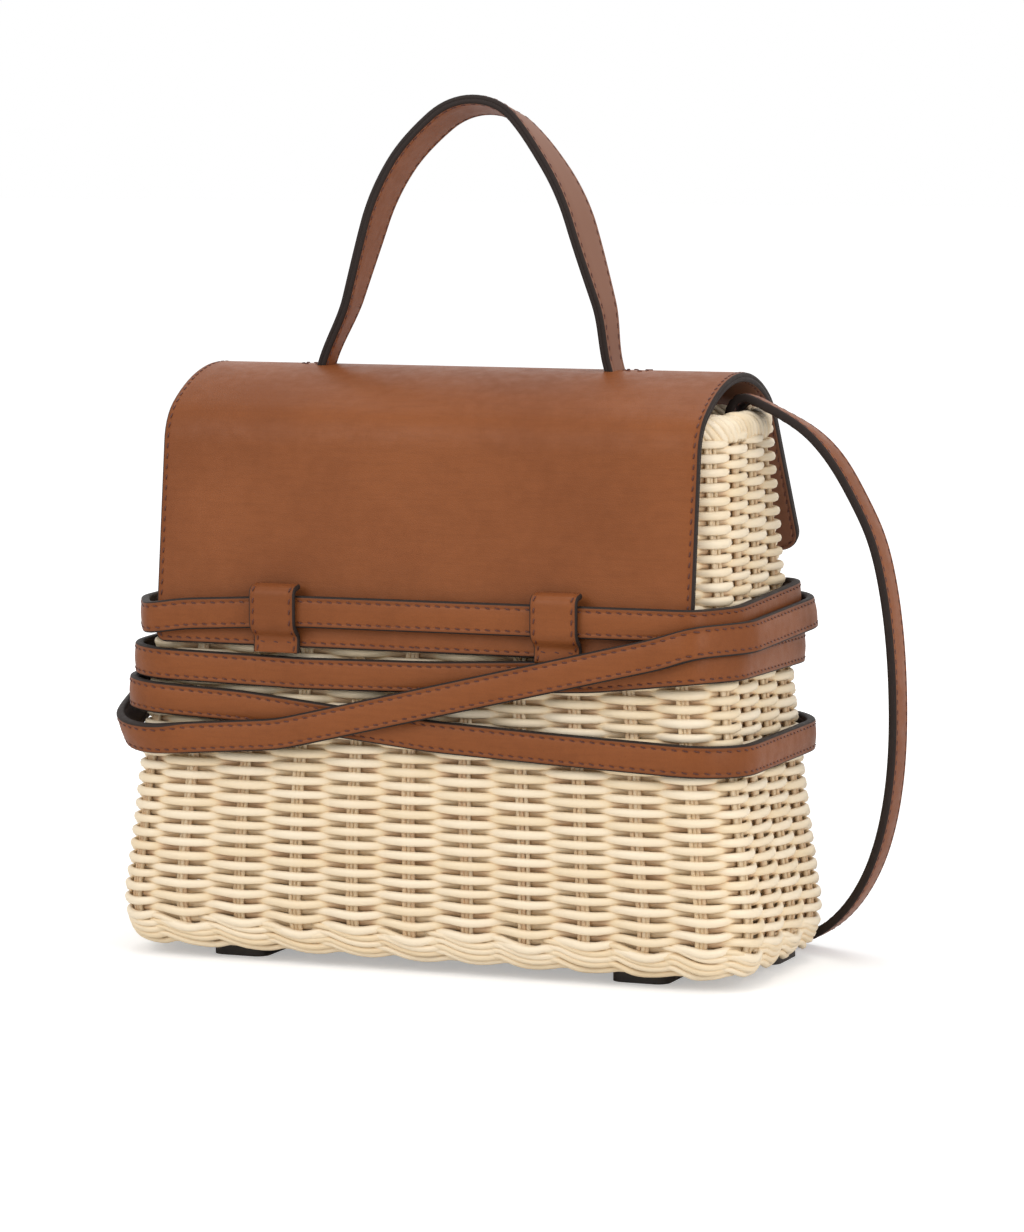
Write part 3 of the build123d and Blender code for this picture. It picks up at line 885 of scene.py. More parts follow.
def stake_bundles():
    """Upright stakes, each of a few thin canes side by side, up the middle of the wall."""
    w = settings("tote_weave")
    b = settings("tote_basket")
    chance = np.random.default_rng(5)
    total = w.stakes * w.stake_canes
    bundle = np.arange(total)[:, None] // w.stake_canes
    beside = np.arange(total)[:, None] % w.stake_canes - (w.stake_canes - 1) / 2
    low, high = b.foot_height + 3 * MM, b.rim_height - 4 * MM
    height = np.linspace(low, high, 44)[None] + np.zeros((total, 1))
    turn = (bundle - w.stake_shift) / w.stakes + 0.0 * height
    centre, out = around(turn, height, w.middle)
    tangent = np.stack([-out[..., 1], out[..., 0], np.zeros_like(height)], axis=-1)
    phase = chance.uniform(0, 6.3, (w.stakes, 1))[bundle[:, 0]]
    wander = 0.35 * MM * np.sin(height * 70.0 + phase)
    shift = beside * w.stake_thick * 0.93 + wander + 0.12 * MM * chance.standard_normal((total, 1))
    deep = 0.25 * MM * chance.standard_normal((total, 1)) + 0.0 * height
    centre = centre + tangent * shift[..., None] + out * deep[..., None]
    thick = w.stake_thick / 2 * (1.0 + 0.06 * chance.standard_normal((total, 1, 1)))
    tone = chance.uniform(0.1, 0.7, total)
    return tubes(centre, tangent * thick, out * thick, CANE_SIDES, False, tone)


def foot_strands():
    """The foot border: for each stake a bundle of strands that comes out over the last one,
    dips and goes in under the next, so that the border is scalloped."""
    w = settings("tote_weave")
    b = settings("tote_basket")
    chance = np.random.default_rng(9)
    layers = 4
    total = w.stakes * layers
    bundle = np.arange(total)[:, None] // layers
    layer = np.arange(total)[:, None] % layers
    u = np.linspace(-0.35, 1.35, 16)[None]
    turn = (bundle - w.stake_shift - 0.36 + u) / w.stakes
    bulge = np.sin(math.pi * np.clip((u + 0.35) / 1.7, 0.0, 1.0))
    dip = np.sin(math.pi * np.clip(u, 0.0, 1.0))
    rise = 2.6 * MM + layer * 2.7 * MM
    slope = 2.4 * MM * (0.5 - u)
    scallop = 2.6 * MM * dip
    stray = 0.2 * MM * chance.standard_normal((total, 1))
    height = b.foot_height + rise + slope - scallop + stray
    inset = 2.2 * MM + 4.2 * MM * (1.0 - bulge ** 0.7) + 1.6 * MM * (u - 0.3)
    centre = around(turn, height, inset)[0]
    thick = 1.7 * MM * (0.62 + 0.38 * bulge ** 0.6) * (1.0 + 0.04 * chance.standard_normal((total, 1)))
    return upright_canes(centre, 1.1 * thick, thick, False, chance.uniform(0.2, 0.7, total))


def rim_strands():
    """The rim border: stake canes that lean to the left, roll over the crest and go down inside."""
    w = settings("tote_weave")
    b = settings("tote_basket")
    chance = np.random.default_rng(13)
    canes = 5
    total = w.stakes * canes
    middle_inset = 5 * MM
    level = b.rim_height - 5.5 * MM
    roll_radius = 3.1 * MM
    roll_height = 3.6 * MM
    tuck = 2.4 * MM
    lean = 0.26
    roll = np.linspace(-1.35, 3.9, 18)[None]
    turn = (np.arange(total)[:, None] / canes - w.stake_shift + 0.30 - lean * roll) / w.stakes
    height = level + roll_height * np.sin(roll) - tuck * np.clip(-roll, 0.0, 2.0)
    inset = middle_inset - roll_radius * np.cos(roll)
    height = height + 0.4 * MM * chance.standard_normal((total, 1))
    centre = around(turn, np.minimum(height, b.rim_height), inset)[0]
    centre[..., 2] = height
    tangent = frame_of(centre)
    middle = around(turn, level + 0.0 * height, middle_inset + 0.0 * inset)[0]
    side = unit(np.cross(tangent, unit(centre - middle)))
    thick = 1.8 * MM * (1.0 + 0.07 * chance.standard_normal((total, 1, 1)))
    return tubes(
        centre, side * thick, np.cross(side, tangent) * thick, CANE_SIDES, False,
        chance.uniform(0.3, 0.9, total),
    )


def core_ring(height, inset, tall, deep):
    """A plain ring of dark cane hidden in a border, round the whole basket; its dark colour is painted
    shade for what shows of it through the border.
    """
    turn = np.arange(160)[None] / 160
    centre, out = around(turn, height + 0.0 * turn, inset)
    # Painted shade: the core takes the darkest cane colour, so what shows of it through the border
    # reads as shade.
    dark = [-0.6]
    return tubes(centre, out * deep, UP * tall + 0.0 * out, CANE_SIDES, True, dark)


def bottom_canes():
    """The woven bottom: canes along the bag that pass over and under ribs across it."""
    b = settings("tote_basket")
    length, depth = half_sizes(np.array([b.foot_height + b.border_height / 2]))
    edge = 6.2 * MM
    rib_pitch = 25.7 * MM
    radius = b.corner_radius - edge
    reach = depth[0] - edge
    y = np.arange(-reach + 3 * MM, reach - 1 * MM, 4.3 * MM)[:, None]
    into = np.clip(np.abs(y) - (reach - radius), 0.0, radius)
    half = length[0] - edge - (radius - np.sqrt(radius ** 2 - into ** 2))
    x = np.linspace(-1.0, 1.0, 90)[None] * half
    row = np.arange(len(y))[:, None]
    level = b.foot_height + 2.8 * MM
    z = level + 1.4 * MM * np.cos(math.pi * (x / rib_pitch + row))
    centre = np.stack([x, y + 0.0 * x, z], axis=-1)
    tangent = frame_of(centre)
    side = unit(np.cross(tangent, UP))
    chance = np.random.default_rng(21)
    rows = tubes(
        centre, side * 2 * MM, np.cross(side, tangent) * 1.3 * MM, 6, False,
        chance.uniform(0.2, 0.8, len(y)),
    )
    ribs = np.arange(-5, 6)[:, None] * rib_pitch
    across = np.linspace(-1.0, 1.0, 12)[None] * (reach - 2 * MM)
    spine = np.stack([ribs + 0.0 * across, across + 0.0 * ribs, level + 0.0 * ribs * across], axis=-1)
    wide = np.array([2.2 * MM, 0.0, 0.0]) + 0.0 * spine
    thin = UP * 1.2 * MM + 0.0 * spine
    return joined([rows, tubes(spine, wide, thin, 6, False, chance.uniform(0.1, 0.5, len(ribs)))])


# The flap


def flap_runs():
    """The flap's outer face as runs of a line, front edge to back edge.

    Two radii carry the front panel's slope to level exactly at the crown; two more carry
    it down into the flared back panel."""
    f = settings("tote_flap")
    foot = half_sizes(np.array([f.front_edge]))[1][0] + f.seat + 2 * f.leather
    start = (-foot, f.front_edge)
    knee_y = -foot + f.leg * math.tan(f.lean)
    knee_z = f.front_edge + f.leg
    a = math.cos(f.shoulder_turn) - math.sin(f.lean)
    b = 1.0 - math.cos(f.shoulder_turn)
    c = math.cos(f.lean) - math.sin(f.shoulder_turn)
    d = math.sin(f.shoulder_turn)
    rise = f.crown - knee_z
    run = f.crown_shift - knee_y
    shoulder = (rise * d - run * b) / (a * d - b * c)
    crown = (run - shoulder * c) / d
    runs = [(f.leg / math.cos(f.lean), 0.0)]
    for radius, turn in (
        (shoulder, QUARTER - f.lean - f.shoulder_turn), (crown, f.shoulder_turn),
        (f.back_crown_radius, f.back_turn), (f.back_shoulder_radius, QUARTER - f.flare - f.back_turn),
    ):
        runs.append((radius * turn, -turn))
    total = np.array([sum(r[0] for r in runs)])
    end = trace(start, QUARTER - f.lean, runs, total)
    runs.append(((end[1][0] - f.back_edge) / math.cos(f.flare), 0.0))
    return start, runs


def flap_place(distance, across, depth):
    """Points of the flap at distances along its section, across the bag and below its face."""
    start, runs = flap_runs()
    y, z, heading = trace(start, QUARTER - settings("tote_flap").lean, runs, distance)
    return np.stack([across, y + np.sin(heading) * depth, z - np.cos(heading) * depth], axis=-1)


def flap_grid():
    """Grid lines of the flap and each point's distance from its edge, round corners included."""
    f = settings("tote_flap")
    total = sum(r[0] for r in flap_runs()[1])
    core = np.linspace(FINE[-1], total - FINE[-1], 84)[1:-1]
    near = np.array([4.0, 5.0, 6.5, 8.0, 9.5, 11.0]) * MM
    along = np.unique(np.concatenate([FINE, near, core, total - near, total - FINE]))
    end = np.minimum(along, total - along)
    radius = np.where(along < total / 2, f.front_corner, f.back_corner)
    short = np.clip(radius - end, 0.0, radius)
    half = f.length / 2 - (radius - np.sqrt(radius ** 2 - short ** 2))
    across = lines_across(half, FINE, 50, 1.0 * MM)
    reach = f.length / 2 - np.abs(across)
    r = radius[:, None]
    e = end[:, None] + 0.0 * reach
    corner = (e < r) & (reach < r)
    edge = np.where(corner, r - np.hypot(r - e, r - reach), np.minimum(e, reach))
    return along, across, np.maximum(edge, 0.0), total


def flap_seam(lining):
    """Stitches all round the flap, a fixed distance inside its outline."""
    f = settings("tote_flap")
    seam = settings("tote_seam")
    total = flap_grid()[3]
    wide = f.length / 2 - seam.inset
    front = f.front_corner - seam.inset
    back = f.back_corner - seam.inset
    side = total - 2 * seam.inset - front - back
    runs = [
        (wide - front, 0.0), (front * QUARTER, QUARTER), (side, 0.0), (back * QUARTER, QUARTER),
        (2 * (wide - back), 0.0), (back * QUARTER, QUARTER), (side, 0.0),
        (front * QUARTER, QUARTER), (wide - front, 0.0),
    ]
    round_trip = sum(r[0] for r in runs)
    where = np.arange(0.0, round_trip - seam.stitch_pitch / 2, seam.stitch_pitch)
    places = []
    for shift in (0.0, 0.4 * MM):
        x, s = trace((0.0, seam.inset), 0.0, runs, where + shift)[:2]
        depth = 2 * f.leather - seam.groove if lining else seam.groove
        places.append(flap_place(s, x, depth + 0.0 * s))
        deeper = flap_place(s, x, depth + 1 * MM + 0.0 * s)
    out = unit(places[1] - deeper) * (-1.0 if lining else 1.0)
    return stitches(places[0], unit(places[1] - places[0]), out)


# The handle


def tab_boxes():
    """A small square of stitches on the flap over each sewn end of the handle."""
    h = settings("tote_handle")
    seam = settings("tote_seam")
    edge = 11 * MM
    start_x = 74 * MM
    start_along = sum(run[0] for run in flap_runs()[1][:3]) - 6 * MM + h.shift / 2
    count = int(edge / seam.stitch_pitch)
    share = (np.arange(count) + 0.5) / count
    corners = [(0, 0), (1, 0), (1, 1), (0, 1)]
    rows = []
    for mirror in (-1.0, 1.0):
        for (x, y), (next_x, next_y) in zip(corners, corners[1:] + corners[:1]):
            dx, dy = next_x - x, next_y - y
            across = mirror * (start_x + edge * (x + dx * share))
            along = start_along + edge * (y + dy * share)
            points = flap_place(along, across, 0.0 * share)
            ahead = flap_place(along + 0.5 * MM * dy, across + 0.5 * MM * mirror * dx, 0.0 * share)
            out = unit(points - flap_place(along, across, 1 * MM + 0.0 * share))
            rows.append(stitches(points, unit(ahead - points), out))
    return joined(rows)


def handle_route():
    """The handle's middle line, sewn end to sewn end, and its width at each station.

    Arcs and straights are traced from the top to the right end and mirrored to the left;
    the crown tips back by an angle that fades down the legs, and the whole bow leans a
    little to the right."""
    h = settings("tote_handle")
    f = settings("tote_flap")
    leather = f.leather
    rest = QUARTER - h.crown_turn - h.splay
    runs = [
        ((h.crown_radius - leather) * h.crown_turn, -h.crown_turn),
        ((h.shoulder_radius - leather) * rest, -rest),
    ]
    reach = abs(f.crown_shift - h.shift) + h.base_width / 2
    sag = reach * reach / (2 * (f.back_crown_radius - 2 * leather))
    tab = f.crown - 3 * leather - sag - 2 * f.seat
    total = np.array([sum(r[0] for r in runs)])
    foot = trace((0.0, h.top - leather), 0.0, runs, total)
    fall = (foot[1][0] - tab - h.tab_bend * (1 - math.sin(h.splay))) / math.cos(h.splay)
    runs.append((fall, 0.0))
    runs.append((h.tab_bend * (QUARTER - h.splay), QUARTER - h.splay))
    runs.append((h.tab_length, 0.0))
    length = sum(r[0] for r in runs)
    x, z = trace((0.0, h.top - leather), 0.0, runs, np.linspace(0.0, length, 130))[:2]
    level = ease((z - f.crown) / (h.full_height - f.crown))
    upright_below = 0.30
    tip = h.crown_tilt * ease((z - upright_below) / (h.top - upright_below))
    right = np.stack([x, h.shift + 0.0 * x, z], axis=-1)
    across = np.stack([0.0 * x, np.cos(tip), -np.sin(tip)], axis=-1)
    right[:, 2] -= 0.5 * h.width * np.sin(tip)
    mirror = np.array([-1.0, 1.0, 1.0])
    places = np.concatenate([right[:0:-1] * mirror, right])
    z = places[:, 2]
    fade = 30 * MM
    lean_in, legs_shift, top_shift = -2 * MM, 4 * MM, 2.2 * MM
    above_legs = 0.365
    places[:, 0] += lean_in + legs_shift * ease((z - f.crown - 0.7 * MM) / fade)
    places[:, 0] += top_shift * ease((z - above_legs) / fade)
    sides = np.concatenate([across[:0:-1], across])
    sides[:, 0] = math.sin(h.leg_twist) * ease((places[:, 0] - 12 * MM) / fade)
    width = h.base_width + (h.width - h.base_width) * level
    tangent = unit(np.gradient(places, axis=0))
    sides = unit(sides - tangent * np.einsum("ij,ij->i", sides, tangent)[:, None])
    widths = np.concatenate([width[:0:-1], width])
    return Route(places, sides, -np.cross(tangent, sides)), widths


# The belt, its keepers and the shoulder strap


def rounded(points, radii):
    """A polyline whose corners are replaced by arcs of the given radii.

    The first three numbers of each row are a place; any others are shared out evenly."""
    line = [points[0]]
    for before, corner, after, radius in zip(points[:-2], points[1:-1], points[2:], radii):
        into = unit(corner[:3] - before[:3])
        away = unit(after[:3] - corner[:3])
        bend = math.acos(float(np.clip(np.dot(into, away), -1.0, 1.0)))
        reach = radius * math.tan(bend / 2)
        share = np.linspace(0.0, bend, 9)[:, None]
        inward = unit(away - into * math.cos(bend))
        arc = corner[:3] - into * reach + radius * (into * np.sin(share) + inward * (1 - np.cos(share)))
        line.extend(np.hstack([arc, np.tile(corner[3:], (9, 1))]))
    return np.array(line + [points[-1]])


def wall_at(height):
    """Half the basket's length and depth at the lower edge of a belt at a height."""
    length, depth = half_sizes(np.array([height - settings("tote_strap").belt_width / 2]))
    return length[0], depth[0]


def front_turn(height, side, over_flap, off, stand):
    """Where a pass turns round a front corner: places in plan and radii, flap first.

    Over the flap a pass is pulled straight from the flap's side edge to the basket's
    round corner; below the flap it follows that corner. off is the distance from what
    it lies on to its middle, and stand the extra room at the end."""
    s = settings("tote_strap")
    f = settings("tote_flap")
    radius = settings("tote_basket").corner_radius
    length, depth = wall_at(height)
    end = length + off + stand
    if not over_flap:
        return [(side * end, -depth - off, radius + off)]
    edge = np.array([f.length / 2, flap_runs()[0][0]])
    gap = np.array([length - radius, radius - depth]) - edge
    heading = math.atan2(gap[1], gap[0]) - math.asin(radius / math.hypot(*gap))
    along = np.array([math.cos(heading), math.sin(heading)])
    start = edge + np.array([along[1], -along[0]]) * (off + 1 * MM)
    front = edge[1] - off
    near = start + along * (front - start[1]) / along[1]
    far = start + along * (end - start[0]) / along[0]
    return [(side * near[0], front, s.flap_bend), (side * far[0], far[1], radius + off)]


# Each winding of the belt, in millimetres: heights at the back left, front left, front
# right and back right corners; room at those corners; lean of the top edge outwards
# there; its layer at the front; whether it crosses the flap's left and right edges;
# bends along the front; and the middle of a loose left end.
WINDINGS = (
    (
        (160, 158.2, 164.6, 169), (3, 3.4, 0, 0), (0, 0, 0, 0), 0, (True, True),
        ((-114, 161), (-60, 164)), (),
    ),
    (
        (141, 137.6, 146, 144.4), (2, 2, 0, 0), (0, 0, 0, 0), 0, (False, True),
        ((-56, 135.6), (8, 136.5), (84, 140)), (),
    ),
    (
        (124.5, 122.4, 103.5, 104), (2, 3, 0, 0), (0, 0, 0, 0), 0, (False, False),
        ((-86, 119.4), (7, 110), (66, 107)), (),
    ),
    (
        (127, 101, 158, 161), (7, -4, 1, 1), (0.55, 0.35, -0.15, -0.15), 1, (False, True),
        ((-112, 104.3), (-66, 108), (116, 152)), (-160, -5, 118, 1.0),
    ),
)


def belt_route():
    """The belt's four windings, through the corners of its route, mostly upright.

    A pass below the flap's front edge lies on the basket and steps out where it crosses
    the flap's right edge."""
    s = settings("tote_strap")
    f = settings("tote_flap")
    half = s.belt_thick / 2 + s.pass_gap
    corner = settings("tote_basket").corner_radius + half
    start_x, start_z = -95 * MM, 160 * MM
    end_x, end_z = 60 * MM, 163 * MM
    rows = [(start_x, wall_at(start_z)[1] + half, start_z, 0.0)]
    radii = []
    for heights, stands, leans, layer, over_flap, bends, loose in WINDINGS:
        z = [height * MM for height in heights]
        room = [stand * MM for stand in stands]
        off = half + layer * (s.belt_thick + s.pass_gap)
        left = front_turn(z[1], -1.0, over_flap[0], off, room[1])[::-1]
        right = front_turn(z[2], 1.0, over_flap[1], off, room[2])
        rows.append((-wall_at(z[0])[0] - off - room[0], wall_at(z[0])[1] + off, z[0], leans[0]))
        radii.append(corner)
        if loose:
            rows.append((loose[0] * MM, loose[1] * MM, loose[2] * MM, loose[3]))
            radii.append(s.front_bend)
        for x, y, radius in left:
            rows.append((x, y, z[1], leans[1]))
            radii.append(radius)
        for x, level in bends:
            top = level * MM + s.belt_width / 2
            on_flap = over_flap[0] or (over_flap[1] and top > f.front_edge)
            under = right[0][1] if on_flap else -wall_at(level * MM)[1] - off
            rows.append((x * MM, under, level * MM, 0.0))
            radii.append(s.front_bend)
        for x, y, radius in right:
            rows.append((x, y, z[2], leans[2]))
            radii.append(radius)
        rows.append((right[-1][0] - room[2] + room[3], wall_at(z[3])[1] + off, z[3], leans[3]))
        radii.append(corner)
    rows.append((end_x, wall_at(end_z - s.belt_width / 2)[1] + off, end_z, 0.0))
    line = softened(evenly(rounded(np.array(rows), radii), 1.5 * MM), 4)
    tangent = unit(np.gradient(line[:, :3], axis=0))
    return along_line(line[:, :3], UP + unit(np.cross(tangent, UP)) * line[:, 3:])


def keeper_route(side):
    """A keeper's middle line: up the flap, out over the belt and back in above it."""
    s = settings("tote_strap")
    f = settings("tote_flap")
    run = belt_route()
    near = np.abs(run.places[:, 0] - side * s.keeper_place) < 4 * MM
    level = run.places[near & (run.places[:, 1] < 0.0), 2].max()
    low = level - s.belt_width / 2
    high = level + s.belt_width / 2
    face = flap_runs()[0][0]
    flange_end = low - 11.6 * MM
    flange_top = low - 4 * MM
    bridge = face - s.belt_thick - 3 * s.pass_gap - s.keeper_thick / 2
    curl = 6.2 * MM

    def panel(z):
        """The keeper's middle where it lies on the flap."""
        return face + (z - f.front_edge) * math.tan(f.lean) - s.keeper_thick / 2

    points = np.array([
        (0.0, panel(flange_end), flange_end), (0.0, panel(flange_top), flange_top),
        (0.0, bridge, low + 0.5 * MM), (0.0, bridge, high + 3 * MM),
        (0.0, bridge + curl, high + 4.2 * MM),
    ])
    bends = [4 * MM, 6 * MM, 3.1 * MM]
    line = evenly(rounded(points, bends), 0.8 * MM)
    line[:, 0] = side * s.keeper_place
    across = np.array([-1.0, 0.0, 0.0]) + 0.0 * line
    return along_line(line, across)


# Places along the shoulder strap in millimetres, with the direction to its far edge there.
STRAP_KNOTS = (
    (129.4, 8, 214, 0, 1, 0), (128.3, 8, 233, 0, 1, 0), (125.9, 8, 246, 0, 1, 0),
    (124.7, 8, 254, 0, 1, 0), (129.2, 8, 260, 0, 1, -0.1), (138.2, 8, 258, 0, 1, -0.15),
    (148.2, 8.4, 253.1, 0, 1, -0.15), (159.4, 9.2, 246.4, 0, 1, -0.1), (171.6, 11, 233.8, 0, 1, 0),
    (181.8, 13, 216.4, 0, 1, 0), (189, 15, 200.4, 0, 1, 0), (193.4, 18, 182, 0, 1, 0),
    (195.2, 21, 166.9, 0, 1, 0), (196.2, 29, 127, 0, 1, 0), (192.8, 37, 86.8, 0, 1, 0),
    (186.9, 43, 61.6, 0, 1, 0), (177.6, 50, 39.8, 0, 1, 0), (164.8, 57, 22, 0, 1, 0),
    (147.5, 66, 8.8, 0, 1, 0), (129, 75, 3.1, 0, 1, 0), (104, 82, 2.5, 0, 1, 0.05),
    (72, 84, 6, 0.1, 0.9, 0.4), (36, 82, 19, 0.4, 0.5, 0.7), (-5, 79, 48, 0.55, 0.2, 0.8),
    (-50, 77, 95, 0.6, 0.05, 0.8), (-90, 76, 138, 0.6, 0.05, 0.8), (-122, 76, 163, 0.4, 0, 0.9),
    (-143, 57, 184, 0.1, 0.45, 0.8), (-146.5, 33, 207, 0, 0.7, 0.7), (-142.4, 19, 230, 0, 0.95, 0.3),
    (-141.4, 15, 248, 0, 1, 0), (-139, 15, 256.8, 0, 1, 0), (-133, 15, 260, 0, 1, 0),
    (-127.8, 15, 257.8, 0, 1, 0), (-126, 15, 251, 0, 1, 0), (-126, 15, 244, 0, 1, 0),
    (-128.3, 15, 232, 0, 1, 0), (-129.4, 15, 214, 0, 1, 0),
)


def strap_route():
    """The shoulder strap: a cubic through its knots."""
    knots = np.array(STRAP_KNOTS, dtype=float)
    knots[:, :3] *= MM
    curve = smooth_through(knots, 1.5 * MM)
    return along_line(curve[:, :3], curve[:, 3:])


def lace_loop(side):
    """A closed loop of lacing through the flap, under the rim border and back over it."""
    b = settings("tote_basket")
    f = settings("tote_flap")
    seam = settings("tote_seam")
    start, runs = flap_runs()
    clear = seam.lace + 1.6 * MM
    low = b.rim_height - b.border_height - 4.5 * MM
    ends = np.array([sum(r[0] for r in runs[:4]), sum(r[0] for r in runs[:5])])
    y = trace(start, QUARTER - f.lean, runs, ends)[0] + clear + 3 * MM
    inside = half_sizes(np.array([low]))[1][0] - 8.6 * MM - clear
    high = b.rim_height + clear
    corners = np.array([(0, inside, low), (0, y[1], low), (0, y[0], high), (0, inside, high)])
    middle = (corners[0] + corners[-1]) / 2
    line = rounded(np.array([middle, *corners, middle]), [3 * MM] * 4)
    line = evenly(line, 2 * MM)[:-1]
    line[:, 0] = side * seam.lace_place
    centre = line[None]
    tangent = frame_of(centre, closed=True)
    wide = np.array([1.0, 0.0, 0.0]) + 0.0 * centre
    thick = seam.lace / 2
    return tubes(centre, wide * thick, np.cross(tangent, wide) * thick, CANE_SIDES, True, [0.01])


# Operators


def sew(name, *rows):
    """Puts rows of stitches into one piece of thread."""
    make_piece(name, joined(rows), [finishes()["waxed_thread"]])


class TOTE_OT_basket(bpy.types.Operator):
    """Weaves the basket: rows of cane, stakes, the two borders and the bottom"""

    bl_idname = "tote.basket"
    bl_label = "Weave Basket"

    def execute(self, context):
        b = settings("tote_basket")
        w = settings("tote_weave")
        rows = round((b.rim_height - 2 * b.border_height - b.foot_height) / w.row_pitch)
        weave_rows(0, rows // 2, "woven_rows_lower", ["basket_wall"])
        weave_rows(rows // 2, rows, "woven_rows_upper", ["basket_wall"])
        made = finishes()
        make_piece("wall_stakes", stake_bundles(), [made["stake_cane"]], ["basket_wall"])
        foot = joined([
            foot_strands(),
            core_ring(b.foot_height + 4 * MM, 8.5 * MM, 2.6 * MM, 2.6 * MM),
            core_ring(b.foot_height + 6.5 * MM, 5.5 * MM, 3 * MM, 2.4 * MM),
        ])
        make_piece("foot_border_plait", foot, [made["peeled_cane"]], ["foot_border"])
        core = core_ring(b.rim_height - 5.5 * MM, 5 * MM, 2.8 * MM, 1.8 * MM)
        rim = joined([rim_strands(), core])
        make_piece("rim_border_plait", rim, [made["peeled_cane"]], ["rim_border"])
        make_piece("woven_bottom", bottom_canes(), [made["peeled_cane"]], ["basket_bottom"])
        return {"FINISHED"}


class TOTE_OT_flap(bpy.types.Operator):
    """Makes the flap's two leathers, its stitching and the lacing that ties it to the rim"""

    bl_idname = "tote.flap"
    bl_label = "Make Flap"

    def execute(self, context):
        f = settings("tote_flap")
        along, across, edge = flap_grid()[:3]
        deep = worked(edge)
        middle = np.full_like(edge, f.leather)
        outer = leather_shell(flap_place, along, across, edge, deep, middle)
        make_piece("flap_face", outer, leathers(), ["flap_outer"])
        lining = leather_shell(flap_place, along, across, edge, middle, 2 * f.leather - deep)
        make_piece("flap_inside", lining, leathers(), ["flap_lining"])
        sew("flap_stitching", flap_seam(False), flap_seam(True))
        for side, word in ((-1, "left"), (1, "right")):
            make_piece(
                "lacing_" + word, lace_loop(side), [finishes()["lining_leather"]],
                ["flap_lace_" + word],
            )
        return {"FINISHED"}


class TOTE_OT_handle(bpy.types.Operator):
    """Makes the carrying handle's two leathers and its stitching"""

    bl_idname = "tote.handle"
    bl_label = "Make Handle"

    def execute(self, context):
        leather = settings("tote_flap").leather
        route, width = handle_route()
        outer = band(route, width, leather, 0.0, 2.5 * MM, "upper")
        make_piece("handle_face", outer, leathers(), ["handle_outer"])
        inner = band(route, width, 0.0, -leather, 2.5 * MM, "lower")
        make_piece("handle_inside", inner, leathers(), ["handle_lining"])
        tab = settings("tote_handle").tab_length + 12 * MM
        sew(
            "handle_stitching", seam_along(route, width, leather, tab, tab),
            seam_along(route, width, -leather, tab, tab), tab_boxes(),
        )
        return {"FINISHED"}


class TOTE_OT_belt(bpy.types.Operator):
    """Winds the belt round the body and sews the two keepers that hold it"""

    bl_idname = "tote.belt"
    bl_label = "Wind Belt"

    def execute(self, context):
        s = settings("tote_strap")
        route = belt_route()
        half = s.belt_thick / 2
        strap = band(route, s.belt_width, half, -half, 4 * MM, "both", STRAP_CROWN)
        make_piece("belt", strap, leathers("strap_back"), ["wrap_belt"])
        sew("belt_stitching", seam_along(route, s.belt_width, half, 3 * MM, 3 * MM))
        for side, word in ((-1, "left"), (1, "right")):
            path = keeper_route(side)
            half = s.keeper_thick / 2
            loop = band(path, s.keeper_width, half, -half, 1 * MM, "both")
            make_piece(
                "keeper_loop_" + word, loop, leathers("strap_back"), ["keeper_" + word]
            )
            sew(
                "keeper_stitching_" + word,
                seam_along(path, s.keeper_width, half, 2 * MM, 4 * MM),
                seam_across(path, s.keeper_width, half, 4.8 * MM),
            )
        return {"FINISHED"}


class TOTE_OT_shoulder_strap(bpy.types.Operator):
    """Makes the shoulder strap and its stitching"""

    bl_idname = "tote.shoulder_strap"
    bl_label = "Make Shoulder Strap"

    def execute(self, context):
        s = settings("tote_strap")
        route = strap_route()
        half = s.strap_thick / 2
        strap = band(route, s.strap_width, half, -half, 3 * MM, "both", STRAP_CROWN)
        make_piece("shoulder_band", strap, leathers("strap_back"), ["shoulder_strap"])
        sew(
            "shoulder_stitching", seam_along(route, s.strap_width, half, 4 * MM, 4 * MM),
            seam_along(route, s.strap_width, -half, 4 * MM, 4 * MM),
        )
        return {"FINISHED"}


class TOTE_OT_feet(bpy.types.Operator):
    """Gives the four feet their leather"""

    bl_idname = "tote.feet"
    bl_label = "Finish Feet"

    def execute(self, context):
        for name in ("foot_front_left", "foot_front_right", "foot_back_left", "foot_back_right"):
            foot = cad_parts[name]
            foot.data.materials.clear()
            foot.data.materials.append(finishes()["foot_leather"])
        return {"FINISHED"}


class TOTE_OT_stage(bpy.types.Operator):
    """Sets the floor, the soft lights and the camera"""

    bl_idname = "tote.stage"
    bl_label = "Set Stage"

    def execute(self, context):
        floor_plane()
        studio_lights()
        photo_camera()
        return {"FINISHED"}


# The photograph's view: how far the camera stands to the right and above, in degrees, its
# distance from the point it looks at, and its lens in millimetres.
VIEW_TURN = 21.446
VIEW_RISE = 6.091
VIEW_DISTANCE = 2.27345
VIEW_POINT = (0.019864, 0.0, 0.158187)
VIEW_LENS = 144.47
WHITE = (1.0, 1.0, 1.0, 1.0)


